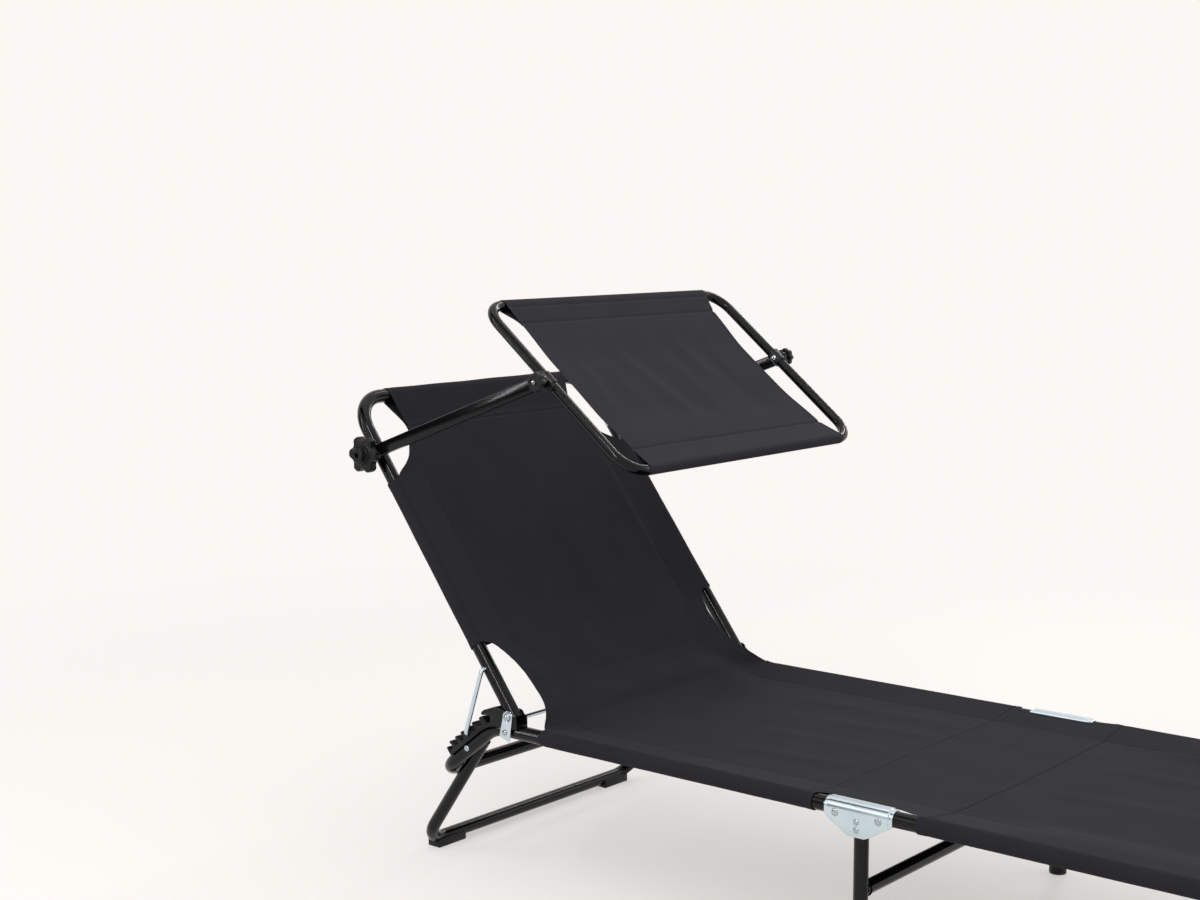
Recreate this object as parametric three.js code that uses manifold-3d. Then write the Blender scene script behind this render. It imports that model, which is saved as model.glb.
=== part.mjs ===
// Folding sun lounger with a tilting canopy: bent steel tubes, a sewn sling and a canopy on two arms.
// Lengths are millimetres. +X runs from the head end to the foot end, +Z is up, the floor is Z = 0.
import * as THREE from "three";
import { mergeVertices } from "three/addons/utils/BufferGeometryUtils.js";
import Module from "manifold-3d";

const wasm = await Module();
wasm.setup();

const radians = THREE.MathUtils.degToRad;
const point = (x, y, z) => new THREE.Vector3(x, y, z);

// Driving sizes of the lounger
const railSpan = 578; // centre to centre of the two long rails
const railHeight = 240; // rail centre line above the floor
const headReach = 655; // from the middle hinge to the bend at the head end
const footReach = 660; // from the middle hinge to the foot bar
const slopeAngle = radians(38.5); // the seat rails dip by this at the head end
const slopeReach = 148; // from the bend down to the head end bar
const backrestReach = 575; // from the recline pivot to the head bar
const backrestAngle = radians(53.13); // backrest above the horizontal, as it stands in its notch
const reclinedAngle = radians(24.11); // the same angle in the lowest notch

// Tube stock
const railRadius = 11;
const legRadius = 10;
const canopyTubeRadius = 8;
const tubeWall = 1.2;
const railBendRadius = 60;
const headCornerRadius = 45;
const slopeBendRadius = 60;
const legBendRadius = 45;
const tubeSides = 12;
const boreSides = 6;
const bendSteps = 4;
const smallBendSteps = 3;

// Clearances and fasteners
const fitClear = 0.3; // between touching pieces, and round a pin in its hole
const cutOverrun = 30; // how far every cutting tool runs past what it cuts
const pinRadius = 3;
const rivetHeadRadius = 5.5;
const rivetHeadHeight = 2.5;
const pinSides = 8;

// Middle hinge bracket
const hingePinReach = 33; // from the mid leg to each rail's rivet
const hingePinDrop = 4; // rivet below the rail centre line
const railEndOverhang = 5; // rail past its rivet
const bracketSheet = 1.5;
const bracketInnerRadius = 12.2;
const bracketHeadReach = 51.4;
const bracketFootReach = 52.9;
const bracketShoulderDrop = 8;
const bracketDepth = 32; // lower edge below the rail centre line
const bracketFlatHalf = 13;
const bracketArcSteps = 6;
const legRivetDrop = 11;
const legRivetPitch = 11;

// Mid leg
const midLegTopDrop = 3;
const midBarHeight = 133;
const midFootRadius = 13.5;
const midFootHeight = 34;
const footFloor = 4; // plastic under a tube

// Head and foot legs
const legInset = 25; // leg tube centre inboard of the rail centre
const legTopReach = 8; // leg tube past its pivot
const headLegPlace = 64; // leg pivot down the slope from the bend
const footLegSetIn = 100; // leg pivot short of the foot bar
const footLegAngle = radians(70);
const groundBarHeight = 14;
const studReach = 10; // stop stud down the leg from the leg's pivot
const studRadius = 4;
const collarRadius = 6;
const capLength = 62;
const capHalfWidth = 13;
const capHeight = 20;

// Recline pivot, its strap and its toothed rack
const pivotInset = 39; // pivot inboard of the bend
const pivotLift = 25;
const backrestEndReach = 6;
const strapSheet = 2;
const strapRoundRadius = 8.5;
const strapRivetSetback = 6;
const strapFootHalf = 9;
const strapShortDrop = 7;
const strapLongDrop = 13;
const pivotHeadRadius = 7.5;
const rackHalfWidth = 13;
const notchPlace = 46; // photographed notch down the slope from the bend
const notchPitch = 15.33;
const notchesBelow = 3;
const notchesAbove = 3;
const notchHeight = 16.5; // bail bar centre above the slope centre line
const lowToothHeight = 13.5; // the bail bar lifts just clear of these as it slides down
const midToothHeight = 15;
const tallToothHeight = 22;
const toothLean = 2.6; // a notch's uphill wall leans back, so the bar can rise out of it
const rackBase = 6.5; // lower edge of the rack above the rail centre line
const rackRearReach = 16; // rack past the pivot
const pivotSweepRadius = 13.2;

// Bail that props the backrest
const bailRadius = 3.5;
const bailPlace = 83; // bail hole up the backrest from the pivot
const bailSide = 17.2; // arm outboard of the rail centre line
const bailStub = 22;
const bailBendRadius = 5.5;

// Canopy
const canopySetIn = 102; // canopy arm bolt below the head bar
const armReach = 382;
const armAngle = radians(20.5);
const armWidth = 20;
const armThickness = 10;
const armSide = 19.3; // arm centre outboard of the rail centre line
const canopySideOffset = 3; // canopy side tube outboard of the rail centre line
const canopyLength = 359;
const canopyPivotShare = 0.46;
const canopySlope = radians(38.8);
const canopyBendRadius = 40;
const canopyJoint = 0.5; // butt joint of the bent tube, hidden by the cloth
const saddleHalfLength = 11;
const saddleReach = 2.7;
const bigKnobRadius = 28.5;
const bigKnobDepth = 14;
const bigKnobHubRadius = 13;
const bigKnobHubHeight = 26;
const bigKnobLobes = 6;
const smallKnobRadius = 15;
const smallKnobDepth = 11;
const smallKnobLobes = 8;
const knobLobeShare = 0.12;
const boltTailReach = 2;

// Sling cloth
const clothThickness = 1.5;
const clothSag = 12;
const hipSetIn = 101; // seat cloth's head edge from the bend at the head end
const kneeHeadEdge = 71;
const kneeFootEdge = 87;
const hipCutIn = 45; // how far the cloth is cut in from the rail at the hip
const hipRoundShare = 0.15; // the hip's stretched cloth leaves its straight line by this much of a full curve
const kneeCutIn = 21;
const backSleeveLow = 120;
const sleeveSetIn = 157; // side sleeves end short of the head bar and the foot bar
const cornerSetIn = 118;
const cornerCutIn = 47;
const endHemSetIn = 65;
const endHemCutIn = 70;
const endCutIn = 87;
const canopyClothHalf = 240;
const canopyFlare = 10;
const canopyHem = 40;
const sheetColumns = 8;

// Worked-out places
const sideY = railSpan / 2;
const hipEdge = headReach - hipSetIn;
const footLegPlace = footReach - footLegSetIn;
const canopyPlace = backrestReach - canopySetIn;
const slopeDown = point(-Math.cos(slopeAngle), 0, -Math.sin(slopeAngle));
const slopeUp = point(-Math.sin(slopeAngle), 0, Math.cos(slopeAngle));
const bendPlace = point(-headReach, 0, railHeight);
const pivotPlace = point(pivotInset - headReach, 0, railHeight + pivotLift);
const backrestUp = point(-Math.cos(backrestAngle), 0, Math.sin(backrestAngle));
const backrestFront = point(Math.sin(backrestAngle), 0, Math.cos(backrestAngle));
const armUp = point(Math.cos(armAngle), 0, Math.sin(armAngle));
const canopyDown = point(Math.cos(canopySlope), 0, -Math.sin(canopySlope));
const canopyTop = point(Math.sin(canopySlope), 0, Math.cos(canopySlope));
const sleeveRadius = (tubeRadius) => tubeRadius + fitClear + clothThickness;

// A place from a start point by distances along directions, at a sideways offset.
function along(start, steps, y = 0) {
  const place = start.clone();
  for (const [direction, distance] of steps) place.addScaledVector(direction, distance);
  place.y = y;
  return place;
}

const armFoot = along(pivotPlace, [[backrestUp, canopyPlace]]);
const armHead = along(armFoot, [[armUp, armReach]]);

// A route of straight runs with round bends, which keeps one station at each end of every bend step.
class BentRoute extends THREE.Curve {
  constructor(corners, bendRadii, steps) {
    super();
    this.stations = [];
    const last = corners.length - 1;
    const heading = (i) => corners[i + 1].clone().sub(corners[i]).normalize();
    this.stations.push({ place: corners[0].clone(), tangent: heading(0) });
    for (let i = 1; i < last; i++) this.addBend(corners[i], heading(i - 1), heading(i), bendRadii[i - 1], steps);
    this.stations.push({ place: corners[last].clone(), tangent: heading(last - 1) });
    this.steps = this.stations.length - 1;
  }

  addBend(corner, arriving, leaving, radius, steps) {
    const turn = arriving.angleTo(leaving);
    const axis = arriving.clone().cross(leaving).normalize();
    const start = corner.clone().addScaledVector(arriving, -radius * Math.tan(turn / 2));
    const centre = start.clone().addScaledVector(axis.clone().cross(arriving), radius);
    for (let i = 0; i <= steps; i++) {
      const angle = (turn * i) / steps;
      const spoke = start.clone().sub(centre).applyAxisAngle(axis, angle);
      this.stations.push({ place: centre.clone().add(spoke), tangent: arriving.clone().applyAxisAngle(axis, angle) });
    }
  }

  stationAt(share) {
    return this.stations[Math.round(share * this.steps)];
  }

  getPointAt(share, target = new THREE.Vector3()) {
    return target.copy(this.stationAt(share).place);
  }

  getTangentAt(share, target = new THREE.Vector3()) {
    return target.copy(this.stationAt(share).tangent);
  }
}

// A regular polygon whose corners lie on a circle.
function polygon(radius, sides) {
  const corners = [];
  for (let i = 0; i < sides; i++) {
    const angle = (2 * Math.PI * (i + 0.5)) / sides;
    corners.push(new THREE.Vector2(radius * Math.cos(angle), radius * Math.sin(angle)));
  }
  return corners;
}

// The radius whose polygon clears a round of the given radius.
const clearing = (radius, sides) => radius / Math.cos(Math.PI / sides);

// Solids: a closed geometry becomes one for joining and cutting, and comes back as a geometry.
function solidOf(geometry) {
  const bare = new THREE.BufferGeometry();
  bare.setAttribute("position", geometry.getAttribute("position"));
  if (geometry.index) bare.setIndex(geometry.index);
  const merged = mergeVertices(bare);
  return new wasm.Manifold(
    new wasm.Mesh({
      numProp: 3,
      vertProperties: merged.getAttribute("position").array,
      triVerts: new Uint32Array(merged.index.array),
    }),
  );
}

function geometryOf(solid) {
  const { vertProperties, triVerts } = solid.getMesh();
  const geometry = new THREE.BufferGeometry();
  geometry.setAttribute("position", new THREE.BufferAttribute(vertProperties, 3));
  geometry.setIndex(new THREE.BufferAttribute(triVerts, 1));
  return geometry;
}

const joined = (solids) => solids.reduce((sum, solid) => sum.add(solid));
const cut = (solid, tools) => tools.reduce((rest, tool) => rest.subtract(tool), solid);

// A solid rod or a hollow tube along a route.
function rod(route, radius, sides) {
  const section = new THREE.Shape(polygon(radius, sides));
  return solidOf(new THREE.ExtrudeGeometry(section, { steps: route.steps, extrudePath: route }));
}

function tube(route, radius, boreRadius) {
  const section = new THREE.Shape(polygon(radius, tubeSides));
  section.holes.push(new THREE.Path(polygon(boreRadius, boreSides)));
  return solidOf(new THREE.ExtrudeGeometry(section, { steps: route.steps, extrudePath: route }));
}

const stockTube = (route, radius) => tube(route, radius, radius - tubeWall);

// The space that a piece gripping a tube keeps free.
const gripSpace = (route, radius) => rod(route, clearing(radius + fitClear, tubeSides), tubeSides);

// A cloth sleeve round a straight run of tube.
function sleeve(from, to, tubeRadius) {
  const route = new BentRoute([from, to], [], 1);
  const section = new THREE.Shape(polygon(sleeveRadius(tubeRadius), tubeSides));
  section.holes.push(new THREE.Path(polygon(clearing(tubeRadius + fitClear, tubeSides), tubeSides)));
  const extrude = { steps: 1, extrudePath: route };
  return solidOf(new THREE.ExtrudeGeometry(section, extrude));
}

// A round bar across the lounger, between two sideways offsets.
function crossBar(place, radius, fromY, toY, sides = pinSides) {
  const bar = new THREE.CylinderGeometry(radius, radius, toY - fromY, sides);
  bar.translate(place.x, (fromY + toY) / 2, place.z);
  return solidOf(bar);
}

// A hole for a pin, right through what it is cut from.
function pinHole(place, fromY, toY, radius = pinRadius) {
  return crossBar(place, clearing(radius + fitClear, pinSides), fromY - cutOverrun, toY + cutOverrun);
}

// A plate cut to an outline in X and Z, between two sideways offsets.
function plate(outline, fromY, toY) {
  const made = new THREE.ExtrudeGeometry(outline, { depth: toY - fromY, bevelEnabled: false, curveSegments: 5 });
  const turned = new THREE.Matrix4().makeBasis(point(1, 0, 0), point(0, 0, 1), point(0, -1, 0));
  made.applyMatrix4(turned);
  made.translate(0, toY, 0);
  return solidOf(made);
}

const outlineOf = (places) => new THREE.Shape(places.map((place) => new THREE.Vector2(place.x, place.z)));

// A sideways range on one side of the lounger, in rising order: side is -1 for near and 1 for far.
function sideRange(side, inner, outer) {
  const edges = [side * (sideY + inner), side * (sideY + outer)];
  return [Math.min(...edges), Math.max(...edges)];
}

// A turned pin across the lounger: pairs of reach outboard of the rail centre and radius, inner end first.
function turnedPin(place, side, steps) {
  const profile = [new THREE.Vector2(0, steps[0][0])];
  for (const [reach, radius] of steps) profile.push(new THREE.Vector2(radius, reach));
  profile.push(new THREE.Vector2(0, steps[steps.length - 1][0]));
  const made = new THREE.LatheGeometry(profile, pinSides);
  if (side < 0) made.rotateX(Math.PI);
  made.translate(place.x, side * sideY, place.z);
  return solidOf(made);
}

// The stations of a domed head, growing from a flat face at one reach towards a direction.
function domedHead(reach, direction, radius = rivetHeadRadius, height = rivetHeadHeight) {
  const domeShares = [[0, 1], [1, 0.55]];
  const head = domeShares.map(([rise, width]) => [reach + direction * height * rise, radius * width]);
  return direction > 0 ? head : head.reverse();
}

// A rivet with a domed head on each side of what it joins.
function rivet(place, side, inner, outer) {
  const shank = [[inner - fitClear, pinRadius], [outer + fitClear, pinRadius]];
  const stations = [...domedHead(inner - fitClear, -1), ...shank, ...domedHead(outer + fitClear, 1)];
  return turnedPin(place, side, stations);
}

// Finishes
const finish = (color, roughness, metalness) => new THREE.MeshStandardMaterial({ color, roughness, metalness });
const blackEnamel = () => finish("#1a1a1c", 0.3, 0.1);
const zincPlate = () => finish("#d5e0e6", 0.3, 0.9);
const blackPlastic = () => finish("#232326", 0.55, 0);
const slingCloth = () => finish("#2c2c30", 0.9, 0);
const canopyCloth = () => finish("#3c3b40", 0.9, 0);

const lounger = new THREE.Group();

function addNode(name, solid, material) {
  const mesh = new THREE.Mesh(geometryOf(solid), material);
  mesh.name = name;
  mesh.geometry.computeVertexNormals();
  lounger.add(mesh);
}

const sides = [["near", -1], ["far", 1]];

// Seat frame: one bent tube, open towards the foot, dipping to its head end bar.
const hingePin = (direction) => point(direction * hingePinReach, 0, railHeight - hingePinDrop);
const slopeEnd = along(bendPlace, [[slopeDown, slopeReach]]);

function seatRoute() {
  const openEnd = point(railEndOverhang - hingePinReach, 0, railHeight);
  const nearRun = [openEnd, bendPlace, slopeEnd].map((place) => point(place.x, -sideY, place.z));
  const farRun = nearRun.map((place) => point(place.x, sideY, place.z)).reverse();
  const radii = [slopeBendRadius, headCornerRadius, headCornerRadius, slopeBendRadius];
  return new BentRoute([...nearRun, ...farRun], radii, bendSteps);
}

const headLegPivot = along(bendPlace, [[slopeDown, headLegPlace]]);
const strapRivetPlace = point(pivotPlace.x - strapRivetSetback, 0, railHeight);
const acrossAll = [-sideY - railRadius, sideY + railRadius];

function seatFrame() {
  const holes = [hingePin(-1), headLegPivot, strapRivetPlace].map((place) => pinHole(place, ...acrossAll));
  return cut(stockTube(seatRoute(), railRadius), holes);
}

// Backrest frame: a U of the same tube, with holes for the pivot, the bail and the canopy bolt.
const bailHole = along(pivotPlace, [[backrestUp, bailPlace]]);

function backrestFrame() {
  const ends = [-backrestEndReach, backrestReach];
  const near = ends.map((reach) => along(pivotPlace, [[backrestUp, reach]], -sideY));
  const far = ends.map((reach) => along(pivotPlace, [[backrestUp, reach]], sideY)).reverse();
  const route = new BentRoute([...near, ...far], [railBendRadius, railBendRadius], bendSteps);
  const pinHoles = [pivotPlace, armFoot].map((place) => pinHole(place, ...acrossAll));
  return cut(stockTube(route, railRadius), [...pinHoles, pinHole(bailHole, ...acrossAll, bailRadius)]);
}

// Foot frame: a flat U past the middle hinge.
const footLegPivot = point(footLegPlace, 0, railHeight);
const footLegDown = point(Math.cos(footLegAngle), 0, -Math.sin(footLegAngle));
const studPlace = (() => {
  const footward = point(Math.sin(footLegAngle), 0, Math.cos(footLegAngle));
  return along(footLegPivot, [[footward, legRadius + studRadius + fitClear], [footLegDown, studReach]]);
})();

function footFrame() {
  const runX = [hingePinReach - railEndOverhang, footReach];
  const near = runX.map((x) => point(x, -sideY, railHeight));
  const far = runX.map((x) => point(x, sideY, railHeight)).reverse();
  const route = new BentRoute([...near, ...far], [railBendRadius, railBendRadius], bendSteps);
  const holes = [hingePin(1), footLegPivot, studPlace].map((place) => pinHole(place, ...acrossAll));
  return cut(stockTube(route, railRadius), holes);
}

// Head and foot legs: narrower U shapes that hang inside the rails.
const legY = sideY - legInset;
const contactPlace = (() => {
  const inboard = legY + legRadius / 2 - (sideY - headCornerRadius);
  return slopeReach - headCornerRadius + Math.sqrt(headCornerRadius ** 2 - inboard ** 2);
})();
const headLegLean = Math.asin((railRadius + legRadius + 2 * fitClear) / (contactPlace - headLegPlace));
const headLegAngle = slopeAngle + headLegLean;
const headLegDown = point(-Math.cos(headLegAngle), 0, -Math.sin(headLegAngle));

function legEnd(pivot, down) {
  const length = (pivot.z - groundBarHeight) / -down.z;
  return along(pivot, [[down, length]]);
}

function legRoute(pivot, down) {
  const ends = [along(pivot, [[down, -legTopReach]]), legEnd(pivot, down)];
  const near = ends.map((place) => point(place.x, -legY, place.z));
  const far = ends.map((place) => point(place.x, legY, place.z)).reverse();
  return new BentRoute([...near, ...far], [legBendRadius, legBendRadius], bendSteps);
}

function leg(pivot, down) {
  return cut(stockTube(legRoute(pivot, down), legRadius), [pinHole(pivot, -legY, legY)]);
}

// A leg pivot: a rivet through rail and leg, with a collar that keeps them apart.
function legPivotRivet(pivot, side) {
  const innerFace = -legInset - legRadius - fitClear;
  const collar = [-legInset + legRadius + fitClear, -railRadius - fitClear];
  const stations = [
    ...domedHead(innerFace, -1),
    [innerFace, pinRadius],
    [collar[0], pinRadius],
    [collar[0], collarRadius],
    [collar[1], collarRadius],
    [collar[1], pinRadius],
    [railRadius + fitClear, pinRadius],
    ...domedHead(railRadius + fitClear, 1),
  ];
  return turnedPin(pivot, side, stations);
}

// A stop stud inside the foot rail, which the foot leg leans on when it stands.
function stopStud(side) {
  const shoulder = -railRadius - fitClear;
  const stations = [
    [-legInset - legRadius, studRadius],
    [shoulder, studRadius],
    [shoulder, pinRadius],
    [railRadius + fitClear, pinRadius],
    ...domedHead(railRadius + fitClear, 1),
  ];
  return turnedPin(studPlace, side, stations);
}

// A plastic glide clipped under a leg's ground bar, with a solid block at the corner.
function groundCap(pivot, down, side) {
  const bar = legEnd(pivot, down);
  const outer = legY - legBendRadius / 2;
  const edges = [side * outer, side * (outer - capLength)];
  const outline = outlineOf([
    point(bar.x - capHalfWidth, 0, 0),
    point(bar.x + capHalfWidth, 0, 0),
    point(bar.x + capHalfWidth, 0, capHeight),
    point(bar.x - capHalfWidth, 0, capHeight),
  ]);
  const block = plate(outline, Math.min(...edges), Math.max(...edges));
  return cut(block, [gripSpace(legRoute(pivot, down), legRadius)]);
}

// Mid leg: two posts and a cross bar welded between them, hollow throughout.
function midLeg() {
  const floorZ = footFloor + fitClear;
  const topZ = railHeight - midLegTopDrop;
  const frameOf = (radius, sideCount, extra) => {
    const posts = sides.map(([, side]) => {
      const ends = [point(0, side * sideY, floorZ - extra), point(0, side * sideY, topZ + extra)];
      return rod(new BentRoute(ends, [], 1), radius, sideCount);
    });
    return joined([...posts, crossBar(point(0, 0, midBarHeight), radius, -sideY, sideY, sideCount)]);
  };
  const holes = legRivetPlaces.map((place) => pinHole(place, ...acrossAll));
  return cut(frameOf(legRadius, tubeSides, 0), [frameOf(legRadius - tubeWall, boreSides, cutOverrun), ...holes]);
}

const legRivetPlaces = [0, 1].map((i) => point(0, 0, railHeight - legRivetDrop - i * legRivetPitch));

// A plastic shoe over the foot of a mid leg post.
function midFoot(side) {
  const boreRadius = clearing(legRadius + fitClear, tubeSides);
  const profile = [
    new THREE.Vector2(0, 0),
    new THREE.Vector2(midFootRadius - footFloor / 2, 0),
    new THREE.Vector2(midFootRadius, footFloor / 2),
    new THREE.Vector2(midFootRadius, midFootHeight),
    new THREE.Vector2(boreRadius, midFootHeight),
    new THREE.Vector2(boreRadius, footFloor),
    new THREE.Vector2(0, footFloor),
  ];
  const made = new THREE.LatheGeometry(profile, tubeSides);
  made.rotateX(Math.PI / 2);
  made.translate(0, side * sideY, 0);
  return solidOf(made);
}

// Middle hinge bracket: a folded channel with a round closed top over both rail ends.
function hingeBracket(side) {
  const outerRadius = bracketInnerRadius + bracketSheet;
  const section = new THREE.Shape();
  section.moveTo(-outerRadius, -bracketDepth);
  section.lineTo(-outerRadius, 0);
  section.absarc(0, 0, outerRadius, Math.PI, 0, true);
  section.lineTo(outerRadius, -bracketDepth);
  section.lineTo(bracketInnerRadius, -bracketDepth);
  section.absarc(0, 0, bracketInnerRadius, 0, Math.PI, false);
  section.lineTo(-bracketInnerRadius, -bracketDepth);
  const length = bracketHeadReach + bracketFootReach;
  const channel = new THREE.ExtrudeGeometry(section, {
    depth: length,
    bevelEnabled: false,
    curveSegments: bracketArcSteps,
  });
  channel.applyMatrix4(new THREE.Matrix4().makeBasis(point(0, 1, 0), point(0, 0, 1), point(1, 0, 0)));
  channel.translate(-bracketHeadReach, side * sideY, railHeight);
  const shape = outlineOf([
    point(-bracketHeadReach, 0, railHeight + outerRadius + fitClear),
    point(-bracketHeadReach, 0, railHeight - bracketShoulderDrop),
    point(-bracketFlatHalf, 0, railHeight - bracketDepth),
    point(bracketFlatHalf, 0, railHeight - bracketDepth),
    point(bracketFootReach, 0, railHeight - bracketShoulderDrop),
    point(bracketFootReach, 0, railHeight + outerRadius + fitClear),
  ]);
  const trimmed = solidOf(channel).intersect(plate(shape, ...sideRange(side, -outerRadius, outerRadius)));
  const holes = [hingePin(-1), hingePin(1), ...legRivetPlaces].map((place) => pinHole(place, ...acrossAll));
  return cut(trimmed, holes);
}

const bracketHalf = bracketInnerRadius + bracketSheet;
const bracketRivet = (place, side) => rivet(place, side, -bracketHalf, bracketHalf);

// Places on the rack: a distance down the slope from the end of the rail's bend, and a height over the rail.
const bendSetback = slopeBendRadius * Math.tan(slopeAngle / 2);
const bendLength = slopeBendRadius * slopeAngle;

function overRail(down, height) {
  if (down >= 0) return along(bendPlace, [[slopeDown, bendSetback + down], [slopeUp, height]]);
  const reach = slopeBendRadius + height;
  const angle = Math.max(slopeAngle + down / slopeBendRadius, 0);
  const past = Math.max(-down - bendLength, 0);
  const centre = point(bendSetback - headReach, 0, railHeight - slopeBendRadius);
  return point(centre.x - reach * Math.sin(angle) + past, 0, centre.z + reach * Math.cos(angle));
}

// Recline rack: a plastic saddle on the rail, with notches for the bail and two cheeks at the pivot.
function rackOutline() {
  const restNotch = notchPlace - bendSetback;
  const notchHalf = bailRadius + fitClear;
  const notchFloor = notchHeight - bailRadius - fitClear;
  const lowest = restNotch + notchesBelow * notchPitch;
  const highest = restNotch - notchesAbove * notchPitch;
  const rearEnd = -bendLength - (pivotPlace.x + rackRearReach - (bendSetback - headReach));
  const slideHeights = [lowToothHeight, midToothHeight, lowToothHeight];
  const toothHeight = (i) => slideHeights[i - 1] ?? tallToothHeight;
  const outline = [
    overRail(0, rackBase),
    overRail(lowest + notchPitch / 2, rackBase),
    overRail(lowest + notchPitch / 2, notchFloor),
    overRail(lowest + notchPitch / 2 - notchHalf / 2, tallToothHeight),
  ];
  for (let i = notchesBelow; i >= -notchesAbove; i--) {
    const place = restNotch + i * notchPitch;
    outline.push(overRail(place + notchHalf, toothHeight(i + 1)));
    outline.push(overRail(place + notchHalf, notchFloor));
    outline.push(overRail(place - notchHalf, notchFloor));
    outline.push(overRail(place - notchHalf - toothLean, toothHeight(i)));
  }
  // The hook over the top notch: places past it and heights, in shares of the notch pitch.
  const hookShares = [[-0.45, 1.6], [-0.5, 1.98], [0.75, 2.26], [1.9, 2.2]];
  for (const [past, height] of hookShares) outline.push(overRail(highest - past * notchPitch, height * notchPitch));
  outline.push(point(pivotPlace.x + rackRearReach / 2, 0, pivotPlace.z + strapRoundRadius));
  outline.push(point(pivotPlace.x + rackRearReach, 0, pivotPlace.z - strapRoundRadius / 2));
  outline.push(overRail(rearEnd, rackBase));
  outline.push(overRail(-bendLength, rackBase));
  outline.push(overRail(-bendLength / 2, rackBase));
  return outlineOf(outline);
}

// The room between the cheeks that the backrest tube turns in.
function pivotRoom(side) {
  const reclined = point(-Math.cos(reclinedAngle), 0, Math.sin(reclinedAngle));
  const under = point(-Math.sin(reclinedAngle), 0, -Math.cos(reclinedAngle));
  const roomReach = 2 * slopeBendRadius;
  const places = [along(pivotPlace, [[under, pivotSweepRadius], [reclined, roomReach]])];
  const arcSteps = 4;
  for (let i = 0; i <= arcSteps; i++) {
    const angle = reclinedAngle * (1 - i / arcSteps);
    places.push(along(pivotPlace, [[point(-Math.sin(angle), 0, -Math.cos(angle)), pivotSweepRadius]]));
  }
  places.push(along(places[places.length - 1], [[point(1, 0, 0), cutOverrun]]));
  places.push(along(places[places.length - 1], [[point(0, 0, 1), roomReach]]));
  places.push(point(places[0].x, 0, places[places.length - 1].z));
  const half = railRadius + fitClear;
  return plate(outlineOf(places), ...sideRange(side, -half, half));
}

function rack(side) {
  const body = plate(rackOutline(), ...sideRange(side, -rackHalfWidth, rackHalfWidth));
  const railRun = [point(-hipEdge, side * sideY, railHeight), point(bendPlace.x, side * sideY, railHeight)];
  const route = new BentRoute([...railRun, point(slopeEnd.x, side * sideY, slopeEnd.z)], [slopeBendRadius], bendSteps);
  return cut(body, [gripSpace(route, railRadius), pivotRoom(side), pinHole(pivotPlace, ...acrossAll)]);
}

// Pivot strap: a flat plate from the pivot down to a rivet in the rail.
const strapInner = rackHalfWidth + fitClear;
const strapOuter = strapInner + strapSheet;

function pivotStrap(side) {
  const outline = new THREE.Shape();
  outline.absarc(pivotPlace.x, pivotPlace.z, strapRoundRadius, 0, Math.PI, false);
  outline.lineTo(strapRivetPlace.x - strapFootHalf, strapRivetPlace.z - strapShortDrop);
  outline.lineTo(strapRivetPlace.x + strapFootHalf, strapRivetPlace.z - strapLongDrop);
  const body = plate(outline, ...sideRange(side, strapInner, strapOuter));
  return cut(body, [pinHole(pivotPlace, ...acrossAll), pinHole(strapRivetPlace, ...acrossAll)]);
}

// Pivot pin: a big round head outside the strap and a domed nut inside the rack.
function pivotPin(side) {
  const inner = -rackHalfWidth - fitClear;
  const outer = strapOuter + fitClear;
  const stations = [
    ...domedHead(inner, -1, pivotHeadRadius, 2 * rivetHeadHeight),
    [inner, pinRadius],
    [outer, pinRadius],
    ...domedHead(outer, 1, pivotHeadRadius),
  ];
  return turnedPin(pivotPlace, side, stations);
}

const strapRivet = (side) => {
  const outer = strapOuter + fitClear;
  const inner = -railRadius - fitClear;
  return turnedPin(strapRivetPlace, side, [
    ...domedHead(inner, -1),
    [inner, pinRadius],
    [outer, pinRadius],
    ...domedHead(outer, 1),
  ]);
};

// Bail: one bent rod, hooked into the backrest tubes, whose bar lies in a notch of both racks.
function bail() {
  const bar = along(bendPlace, [[slopeDown, notchPlace], [slopeUp, notchHeight]]);
  const armY = sideY + bailSide;
  const near = [[bailHole, armY - bailStub], [bailHole, armY], [bar, armY]].map(([at, y]) => point(at.x, -y, at.z));
  const far = near.map((at) => point(at.x, -at.y, at.z)).reverse();
  const radii = Array(4).fill(bailBendRadius);
  return rod(new BentRoute([...near, ...far], radii, smallBendSteps), bailRadius, pinSides);
}

// Canopy arm: a flat oblong tube with round ends.
const armInner = armSide - armThickness / 2;
const armOuter = armSide + armThickness / 2;

function stadium(from, to, halfWidth) {
  const direction = to.clone().sub(from).normalize();
  const heading = Math.atan2(direction.z, direction.x);
  const outline = new THREE.Shape();
  outline.absarc(to.x, to.z, halfWidth, heading - Math.PI / 2, heading + Math.PI / 2, false);
  outline.absarc(from.x, from.z, halfWidth, heading + Math.PI / 2, heading + (3 * Math.PI) / 2, false);
  return outline;
}

function canopyArm(side) {
  const outside = plate(stadium(armFoot, armHead, armWidth / 2), ...sideRange(side, armInner, armOuter));
  const hollowRange = sideRange(side, armInner + tubeWall, armOuter - tubeWall);
  const inside = plate(stadium(armFoot, armHead, armWidth / 2 - tubeWall), ...hollowRange);
  const bolts = [armFoot, armHead].map((place) => pinHole(place, ...acrossAll));
  return cut(outside, [inside, ...bolts]);
}

// Canopy frame: one thin tube bent to a rounded rectangle, its ends meeting in the upper bar.
const canopySideY = sideY + canopySideOffset;
const canopyUpperBar = along(armHead, [[canopyDown, -canopyLength * canopyPivotShare]]);
const canopyFrontBar = along(armHead, [[canopyDown, canopyLength * (1 - canopyPivotShare)]]);

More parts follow.
